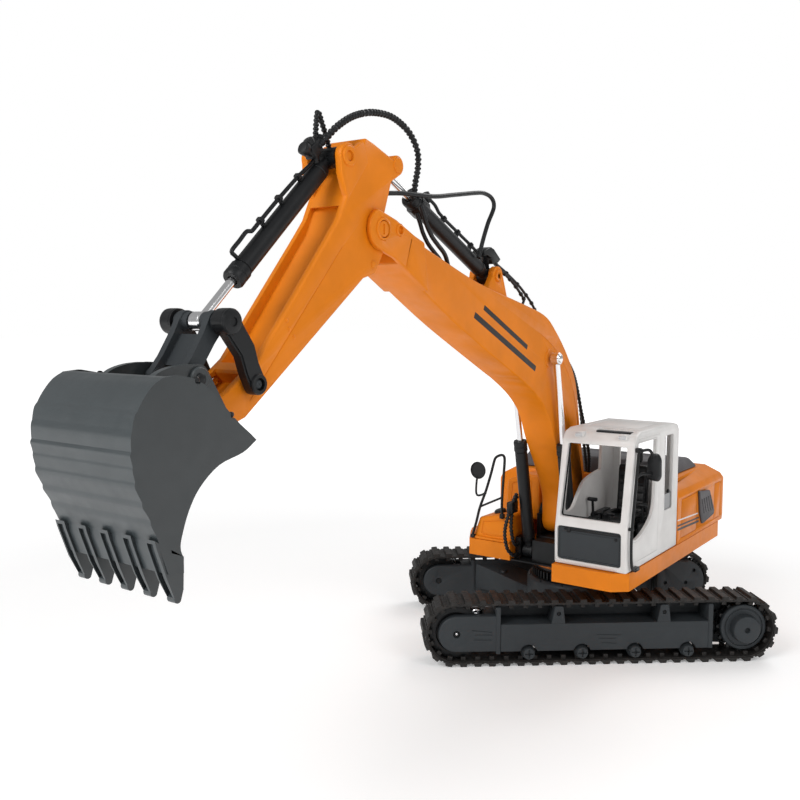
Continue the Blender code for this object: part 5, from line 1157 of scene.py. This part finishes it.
def cab_outside():
    y, r = 0.0766, 0.0010
    rail = hose([(0.0752, y, 0.0765), (0.0790, y, 0.0772), (0.0812, y, 0.0795), (0.0826, y, 0.0850), (0.0832, y, 0.0930), (0.0830, y, 0.1010),
                 (0.0815, y, 0.1110), (0.0790, y, 0.1250), (0.0764, y, 0.1400), (0.0735, y, 0.1560)], r, pitch=0.0010)
    blocks = [rounded(block((0.0700, 0.0744, 0.0752), (0.0772, 0.0778, 0.0778)), 0.0005, 2),
              rounded(block((0.0716, 0.0744, 0.1545), (0.0752, 0.0780, 0.1575)), 0.0005, 2),
              rounded(block((0.0815, 0.0744, 0.1040), (0.0840, 0.0778, 0.1060)), 0.0004, 2)]
    arms = [hose([(0.0738, y, 0.1545), (0.0725, 0.0790, 0.1560), (0.0690, 0.0820, 0.1560), (0.0660, 0.0832, 0.1520), (0.0646, 0.0835, 0.1480)], r,
                 pitch=0.0008),
            hose([(0.0770, y, 0.1385), (0.0735, 0.0785, 0.1405), (0.0690, 0.0808, 0.1402), (0.0646, 0.0825, 0.1395)], r, pitch=0.0008)]
    piece("cab_handrail", gather([rail] + blocks + arms), BLACK, "house", ["cab_rail"], edge=0)
    outline = filleted([(0.0785, 0.1350), (0.0862, 0.1340), (0.0882, 0.1375), (0.0880, 0.1500), (0.0856, 0.1538), (0.0796, 0.1530), (0.0780, 0.1480)],
                       0.0022)
    case = prism(outline, 0.0612, 0.0656, "x")
    for vertex in case.data.vertices:
        if vertex.co.x > 0.0640:
            vertex.co.y = 0.0831 + (vertex.co.y - 0.0831) * 0.80
            vertex.co.z = 0.1440 + (vertex.co.z - 0.1440) * 0.84
    case = rounded(case, 0.0010, 4, 20)
    well = prism(framed(outline, 0.0012), 0.0606, 0.0618, "x")
    piece("cab_mirror_case", cut(case, well), BLACK, "house", edge=0.0001)
    piece("cab_mirror_glass", prism(framed(outline, 0.0014), 0.0615, 0.0620, "x"), MIRROR, "house", edge=0)


def house():
    engine_housing()
    hood()
    toolbox()
    bracket()
    cab()
    cab_inside()
    cab_outside()


# --- Undercarriage -----------------------------------------------------------------------------------
def belt_frame(share, radius):
    """A point that far round the belt at a radius about the axles, with its heading."""
    middle = (BELT_TIP + BELT_INSIDE) / 2
    straight, bend = 2 * AXLE_HALF, math.pi * middle
    run = (share % 1.0) * 2 * (straight + bend)
    side = 1.0 if run < straight + bend else -1.0
    run -= 0.0 if side > 0 else straight + bend
    angle = 0.0 if run < straight else (run - straight) / middle
    x = -AXLE_HALF + run if run < straight else AXLE_HALF + radius * math.sin(angle)
    return side * x, HUB_Z + side * radius * math.cos(angle), (angle if side > 0 else angle + math.pi)


def belt(label, side):
    """Closed band with a shoe, a cleat bar, two pin heads and inner link lugs at every step."""
    low, high = sorted(side * y for y in BELT_Y)
    band = cut(prism([belt_frame(i / (4 * SHOES), 0.0212)[:2] for i in range(4 * SHOES)], low + 0.0008, high - 0.0008),
               prism([belt_frame(i / (4 * SHOES), BELT_INSIDE + 0.0002)[:2] for i in range(4 * SHOES)], low - 0.01, high + 0.01))
    shapes = [band]
    pitch = 2 * (2 * AXLE_HALF + math.pi * (BELT_TIP + BELT_INSIDE) / 2) / SHOES
    shoe = rounded(block((-0.43 * pitch, low, -0.0003), (0.43 * pitch, high, 0.0009)), 0.0003, 1)
    bar = block((-0.27 * pitch, low, 0.0), (0.27 * pitch, high, BELT_TIP - 0.0206))
    for vertex in bar.data.vertices:
        if vertex.co.z > 0.001:
            vertex.co.x *= 0.82
            vertex.co.y += 0.0004 if vertex.co.y < (low + high) / 2 else -0.0004
    bar = rounded(bar, 0.00025, 1)
    lugs = [rounded(block((-0.17 * pitch, y - 0.0012, -0.0030), (0.17 * pitch, y + 0.0012, 0.0)), 0.0003, 1)
            for y in ((low + high) / 2 - 0.0088, (low + high) / 2 + 0.0088)]
    heads = [rod((0.0, y, 0.0006), (0.0, y, 0.0013), 0.0008, 8) for y in (low + 0.0040, high - 0.0040)]
    unit = gather([shoe, bar] + heads)
    inner = gather(lugs)
    for shape, lift in ((unit, 0.0206), (inner, BELT_INSIDE + 0.0005)):
        for n in range(SHOES):
            x, z, turn = belt_frame((n + 0.5) / SHOES, lift)
            copy = shape.copy()
            copy.data = shape.data.copy()
            bpy.context.scene.collection.objects.link(copy)
            copy.data.transform(Matrix.Translation((x, 0.0, z)) @ Matrix.Rotation(turn, 4, "Y"))
            shapes.append(copy)
        bpy.data.objects.remove(shape, do_unlink=True)
    piece(f"belt_{label}", gather(shapes), TREAD, "undercarriage", [f"track_belt_{label}"], TRACKS, edge=0)


def beam(label, side):
    """Hollow side beam with end plates, a rounded idler carrier, brackets, engraved lines and a wire clip."""
    face = FRAME_Y[1]
    low, high = sorted(side * y for y in FRAME_Y)
    span = lambda a, b: sorted((side * a, side * b))
    front, fork_r = 0.0718, 0.0128
    outline = [(-0.0752, BEAM_Z[0])]
    for x in reversed(ROLLER_X):
        outline += arc((x, ROLLER_Z), ROLLER_R + 0.0010, 166.5, 13.5)
    outline += [(front, BEAM_Z[0]), (front, BEAM_Z[1]), (-0.0752, BEAM_Z[1])]
    parts = [rounded(prism(outline, low, high), 0.0006, 2, 40)]
    parts.append(rounded(block((-0.0786, low, 0.0105), (-0.0750, high, PLATE_TOP)), 0.0008, 2))
    parts.append(rounded(block((front, low, 0.0090), (front + 0.0033, high, PLATE_TOP)), 0.0008, 2))
    fork = [(front + 0.0010, HUB_Z - fork_r)] + arc((AXLE_HALF, HUB_Z), fork_r, -90, 90, 24) + [(front + 0.0010, HUB_Z + fork_r)]
    parts.append(rounded(prism(fork, *span(0.0535, face - 0.0006)), 0.0012, 3, 30))
    for x in (0.0268, -0.0480):
        shape = filleted([(x - 0.0004, BEAM_Z[1] - 0.0008), (x + 0.0096, BEAM_Z[1] - 0.0008), (x + 0.0070, PLATE_TOP), (x + 0.0012, PLATE_TOP)], 0.0010)
        parts.append(rounded(prism(shape, *span(0.0620, face - 0.0004)), 0.0004, 2, 30))
    parts.append(prism([(-0.0760, 0.0295), (0.0725, 0.0295), (0.0725, 0.0405), (-0.0760, 0.0405)], *span(0.0540, 0.0565)))
    body = join(*parts)
    reach = AXLE_HALF - WHEEL_R - 0.0008
    opening = prism([(reach, 0.0), (0.13, 0.0), (0.13, 0.05), (reach, 0.05)], *span(0.0590, 0.0708))
    lines = []
    for ends in (((0.0045, 0.0222), (-0.0131, 0.0215)), ((0.0027, 0.0194), (-0.0090, 0.0192)), ((0.0009, 0.0164), (-0.0097, 0.0155))):
        (x0, z0), (x1, z1) = ends
        lines.append(prism([(x0, z0 - 0.0003), (x0, z0 + 0.0003), (x1, z1 + 0.0003), (x1, z1 - 0.0003)], *span(face - 0.0004, face + 0.001)))
    for x0, z0, x1, z1 in ((0.0919, 0.0264, 0.0780, 0.0249), (0.0900, 0.0232, 0.0775, 0.0229), (0.0905, 0.0196, 0.0780, 0.0193)):
        lines.append(prism([(x0, z0 - 0.0003), (x0, z0 + 0.0003), (x1, z1 + 0.0003), (x1, z1 - 0.0003)], *span(face - 0.0010, face + 0.001)))
    holes = [cross_rod((x, z), r, *span(face - 0.0026, face + 0.001), 20)
             for x, z, r in ((0.0311, 0.0372, 0.0015), (-0.0437, 0.0372, 0.0015), (AXLE_HALF, HUB_Z, 0.0026))]
    body = cut(body, opening, *lines, *holes)
    body = cut(body, cross_rod((AXLE_HALF, HUB_Z), 0.0024, *span(0.0500, 0.0600), 20))
    piece(f"beam_{label}", body, SLATE, "undercarriage", [f"track_frame_{label}"], TRACKS, edge=0.00015)
    bolts = []
    for x in (0.0311, -0.0437):
        head = turned((x, side * (face - 0.0024), 0.0372), (x, side * (face - 0.0008), 0.0372), [(0.0, 0.0014), (0.7, 0.0014), (1.0, 0.0010)], 20)
        bolts.append(cut(head, block((x - 0.0008, span(face - 0.0014, face)[0], 0.0370), (x + 0.0008, span(face - 0.0014, face)[1], 0.0374))))
    piece(f"bracket_bolts_{label}", gather(bolts), BLACK, "undercarriage", (), TRACKS, edge=0)
    clip = hose([(0.0840, side * 0.0700, 0.0392), (0.0862, side * 0.0735, 0.0402), (0.0894, side * 0.0755, 0.0410), (0.0915, side * 0.0745, 0.0398),
                 (0.0905, side * 0.0725, 0.0380), (0.0880, side * 0.0715, 0.0372)], 0.0006, pitch=0.0006, sides=8)
    post = rod((0.0870, side * 0.0700, 0.0352), (0.0870, side * 0.0715, 0.0396), 0.0011, 12)
    piece(f"guide_clip_{label}", gather([clip, post]), STEEL, "undercarriage", (), TRACKS, edge=0)


def wheels(label, side):
    """Idler, sprocket with its final drive, four flanged rollers and the gearbox half."""
    span = lambda a, b: sorted((side * a, side * b))
    turn = lambda x, z, a, b, profile, sides=48: turned((x, side * a, z), (x, side * b, z), profile, sides)
    rim = turn(AXLE_HALF, HUB_Z, 0.0594, 0.0704, [(0.0, 0.0160), (0.05, WHEEL_R), (0.28, WHEEL_R), (0.34, 0.0172), (0.66, 0.0172), (0.72, WHEEL_R),
                                                  (0.95, WHEEL_R), (1.0, 0.0160)])
    dish = turn(AXLE_HALF, HUB_Z, 0.0682, 0.0710, [(0.0, 0.0138), (1.0, 0.0142)])
    axle = turn(AXLE_HALF, HUB_Z, 0.0536, 0.0752, [(0.0, 0.0020), (0.9, 0.0020), (1.0, 0.0017)], 24)
    well = turn(AXLE_HALF, HUB_Z, 0.0744, 0.0760, [(0.0, 0.0013), (1.0, 0.0014)], 20)
    head = turn(AXLE_HALF, HUB_Z, 0.0742, 0.0750, [(0.0, 0.0010), (0.7, 0.0010), (1.0, 0.0007)], 16)
    piece(f"idler_screw_{label}", head, STEEL, f"idler_{label}_wheel", (), TRACKS, edge=0)
    piece(f"idler_wheel_{label}", cut(rim, dish), BLACK, f"idler_{label}_wheel", [f"idler_{label}"], TRACKS, edge=0.0002)
    piece(f"idler_axle_{label}", cut(axle, well), BLACK, f"idler_{label}_wheel", (), TRACKS, edge=0)
    teeth, root = 13, 0.0160
    outline = []
    for tooth in range(teeth):
        for share, radius in ((-0.25, root), (-0.19, root + 0.0006), (-0.11, WHEEL_R - 0.0003), (-0.05, WHEEL_R), (0.05, WHEEL_R), (0.11, WHEEL_R - 0.0003),
                              (0.19, root + 0.0006), (0.25, root)):
            angle = 2 * math.pi * (tooth + share) / teeth
            outline.append((-AXLE_HALF + radius * math.cos(angle), HUB_Z + radius * math.sin(angle)))
    crown = join(prism(outline, *span(0.0596, 0.0616)), prism(outline, *span(0.0668, 0.0688)),
                 turn(-AXLE_HALF, HUB_Z, 0.0600, 0.0684, [(0.0, 0.0152), (1.0, 0.0152)]))
    piece(f"drive_sprocket_{label}", crown, BLACK, f"sprocket_{label}_wheel", [f"sprocket_{label}"], TRACKS, edge=0.0002)
    cover = turn(-AXLE_HALF, HUB_Z, 0.0682, 0.0716, [(0.0, 0.0163), (0.65, 0.0165), (0.9, 0.0161), (1.0, 0.0155)], 64)
    groove = cut(turn(-AXLE_HALF, HUB_Z, 0.0708, 0.0722, [(0.0, 0.0138), (1.0, 0.0139)], 64), turn(-AXLE_HALF, HUB_Z, 0.0704, 0.0724, [(0.0, 0.0130), (1.0, 0.0129)], 64))
    drum = turn(-AXLE_HALF, HUB_Z, 0.0708, 0.0785, [(0.0, 0.0102), (0.8, 0.0098), (0.93, 0.0094), (1.0, 0.0084)], 56)
    bore = turn(-AXLE_HALF, HUB_Z, 0.0760, 0.0792, [(0.0, 0.0019), (1.0, 0.0021)], 24)
    piece(f"final_drive_{label}", cut(join(cut(cover, groove), drum), bore), SLATE, f"sprocket_{label}_wheel", (), TRACKS, edge=0.0002)
    for number, x in enumerate(ROLLER_X, 1):
        wheel = turn(x, ROLLER_Z, 0.0542, 0.0740, [(0.0, 0.0044), (0.03, ROLLER_R), (0.16, ROLLER_R), (0.20, 0.0042), (0.80, 0.0042), (0.84, ROLLER_R),
                                                   (0.97, ROLLER_R), (1.0, 0.0046)], 32)
        hub = turn(x, ROLLER_Z, 0.0736, 0.0783, [(0.0, 0.0044), (0.5, 0.0043), (0.9, 0.0039), (1.0, 0.0034)], 32)
        slots = [block((x - 0.0030, span(0.0775, 0.079)[0], ROLLER_Z - 0.0004), (x + 0.0030, span(0.0775, 0.079)[1], ROLLER_Z + 0.0004)),
                 block((x - 0.0004, span(0.0775, 0.079)[0], ROLLER_Z - 0.0030), (x + 0.0004, span(0.0775, 0.079)[1], ROLLER_Z + 0.0030)),
                 turn(x, ROLLER_Z, 0.0768, 0.0795, [(0.0, 0.0011), (1.0, 0.0012)], 16)]
        piece(f"track_roller_{label}_{number}", cut(join(wheel, hub), *slots), SLATE, f"roller_{label}_{number}_wheel",
              [f"roller_{label}_{number}"], TRACKS, edge=0.0001)
    rear = -0.0790
    half = [(rear, 0.0080), (rear, 0.0390)] + arc((-AXLE_HALF, HUB_Z), 0.0165, 82, 278, 30)
    case = rounded(prism(half, *span(0.0440, 0.0575)), 0.0012, 3, 30)
    holes = [turn(x, z, 0.0436, 0.0462, [(0.0, 0.0016), (1.0, 0.0015)], 20)
             for x, z in ((-0.0860, 0.0217), (-0.1033, 0.0217), (-0.0850, 0.0340), (-0.0850, 0.0120), (-0.1100, 0.0320), (-0.1100, 0.0150))]
    seam = cut(block((-0.125, span(0.0500, 0.0503)[0], 0.0), (-0.0785, span(0.0500, 0.0503)[1], 0.05)),
               prism([(rear - 0.0003, 0.0083), (rear - 0.0003, 0.0387)] + arc((-AXLE_HALF, HUB_Z), 0.0162, 82, 278, 30), *span(0.0490, 0.0510)))
    piece(f"gearbox_case_{label}", cut(case, seam, *holes), SLATE, "undercarriage", [f"gearbox_{label}"], TRACKS, edge=0.0001)


def centre():
    """Cross-shaped carrier with sloped arms and bolts, and the toothed turntable ring above it."""
    corner = [(0.0300, 0.0), (0.0420, 0.0280), (0.0720, 0.0530), (0.0440, 0.0530), (0.0180, 0.0330)]
    mirror = [(x, -y) for x, y in reversed(corner[1:])]
    half = corner + [(-x, y) for x, y in reversed(corner)]
    outline = half + [(-x, -y) for x, y in half]
    seen, shape = set(), []
    for x, y in outline:
        key = (round(x, 6) + 0.0, round(y, 6) + 0.0)
        if key not in seen:
            seen.add(key)
            shape.append(key)
    arms = prism(shape, 0.0170, 0.0300, "z")
    for vertex in arms.data.vertices:
        if vertex.co.z > 0.0290:
            vertex.co.z = 0.0300 + 0.0080 * max(0.0, abs(vertex.co.y) - 0.0280) / 0.0250
    arms = rounded(arms, 0.0010, 3, 25)
    drum = turned((0, 0, 0.0250), (0, 0, 0.0440), [(0.0, 0.0380), (0.86, 0.0380), (0.93, 0.0374), (1.0, 0.0362)], 72)
    wells = [rod((0.0362 * math.cos(a), 0.0362 * math.sin(a), 0.0428), (0.0362 * math.cos(a), 0.0362 * math.sin(a), 0.0450), 0.0010, 14)
             for a in (math.radians(30 * n) for n in range(12))]
    feet = [turned((sx * x, sy * y, 0.0300), (sx * x, sy * y, 0.0352), [(0.0, 0.0030), (0.8, 0.0030), (1.0, 0.0026)], 24)
            for sx in (1, -1) for sy in (1, -1) for x, y in ((0.0500, 0.0420),)]
    body = cut(join(arms, drum, *feet), *wells)
    plate = cut(rounded(prism([(-0.0200, -0.0160), (0.0200, -0.0160), (0.0200, 0.0160), (-0.0200, 0.0160)], 0.0158, 0.0175, "z"), 0.0006, 2),
                *[rod((x, y, 0.0150), (x, y, 0.0164), 0.0016, 16) for x in (0.0160, -0.0160) for y in (0.0120, -0.0120)])
    piece("carrier", body, SLATE, "undercarriage", ["chassis"], TRACKS, edge=0.0001)
    piece("carrier_cover_plate", plate, SLATE, "undercarriage", (), TRACKS, edge=0.0001)
    teeth = []
    for tooth in range(60):
        for share, radius in ((-0.28, 0.0324), (-0.14, 0.0340), (0.14, 0.0340), (0.28, 0.0324)):
            angle = 2 * math.pi * (tooth + share) / 60
            teeth.append((radius * math.cos(angle), radius * math.sin(angle)))
    ring = join(prism(teeth, 0.0446, 0.0500, "z"), turned((0, 0, 0.0490), (0, 0, 0.0530), [(0.0, 0.0312), (0.8, 0.0312), (1.0, 0.0306)], 72))
    piece("turntable_ring", ring, BLACK, "undercarriage", ["slew_ring"], TRACKS, edge=0.0001)


def tracks():
    for label, side in (("left", 1), ("right", -1)):
        belt(label, side)
        beam(label, side)
        wheels(label, side)
    centre()


# --- Camera, floor and light ---------------------------------------------------------------------
def stage():
    camera = bpy.data.cameras.new("camera")
    camera.lens = 41.4
    holder = bpy.data.objects.new("camera", camera)
    bpy.context.scene.collection.objects.link(holder)
    holder.location = (0.6485 + SLEW_X, 0.2994, 0.2455)
    holder.rotation_euler = Vector((-0.8066, -0.5836, -0.0940)).to_track_quat("-Z", "Y").to_euler()
    bpy.context.scene.camera = holder
    bm = bmesh.new()
    bmesh.ops.create_grid(bm, x_segments=1, y_segments=1, size=8.0)
    mesh = bpy.data.meshes.new("floor")
    bm.to_mesh(mesh)
    bm.free()
    floor = bpy.data.objects.new("floor", mesh)
    bpy.context.scene.collection.objects.link(floor)
    pale = Shader("floor", (0.90, 0.90, 0.90), 0.9).set("Emission Color", (1.0, 1.0, 1.0, 1.0))
    reach = pale.node("ShaderNodeVectorMath", operation="LENGTH")
    pale.join(pale.node("ShaderNodeTexCoord").outputs["Object"], reach.inputs[0])
    pale.join(pale.ramp(reach.outputs["Value"], 0.22, 0.70, 0.5, 1.5), pale.bsdf.inputs["Emission Strength"])
    floor.data.materials.append(pale.material)
    world = bpy.context.scene.world or bpy.data.worlds.new("world")
    bpy.context.scene.world = world
    world.use_nodes = True
    tree = world.node_tree
    soft = tree.nodes["Background"]
    soft.inputs["Color"].default_value = (1.0, 1.0, 1.0, 1.0)
    soft.inputs["Strength"].default_value = 0.38
    backdrop = tree.nodes.new("ShaderNodeBackground")
    backdrop.inputs["Color"].default_value = (1.0, 1.0, 1.0, 1.0)
    mix = tree.nodes.new("ShaderNodeMixShader")
    tree.links.new(tree.nodes.new("ShaderNodeLightPath").outputs["Is Camera Ray"], mix.inputs[0])
    tree.links.new(soft.outputs[0], mix.inputs[1])
    tree.links.new(backdrop.outputs[0], mix.inputs[2])
    tree.links.new(mix.outputs[0], tree.nodes["World Output"].inputs["Surface"])
    for name, spot, size, power in (("key", (1.7, -0.3, 1.3), 1.1, 22.0), ("side", (0.5, 1.7, 1.2), 1.1, 9.0),
                                    ("back", (-1.3, 0.2, 1.4), 1.2, 10.0)):
        light = bpy.data.lights.new(name, "AREA")
        light.shape = "DISK"
        light.size = size
        light.energy = power
        lamp = bpy.data.objects.new(name, light)
        bpy.context.scene.collection.objects.link(lamp)
        lamp.location = spot
        lamp.rotation_euler = (Vector((0.0, 0.0, 0.12)) - Vector(spot)).to_track_quat("-Z", "Y").to_euler()


def carried_over():
    """CAD nodes whose shape is right keep it, with rounded edges and a finished material."""
    slots = {entry["node"]: entry["material_slot"] for entry in frame["record"]["subparts"]}
    for name, node in frame["nodes"].items():
        node.data.materials.clear()
        node.data.materials.append(LOOKS[slots[name]])
        for polygon in node.data.polygons:
            polygon.use_smooth = True
        soften(node, 0.0004)


stage()
carried_over()
bucket()
rockers()
tipping_link()
stick()
bucket_cylinder()
stick_cylinder()
boom_cylinders()
boom()
hoses()
house()
tracks()
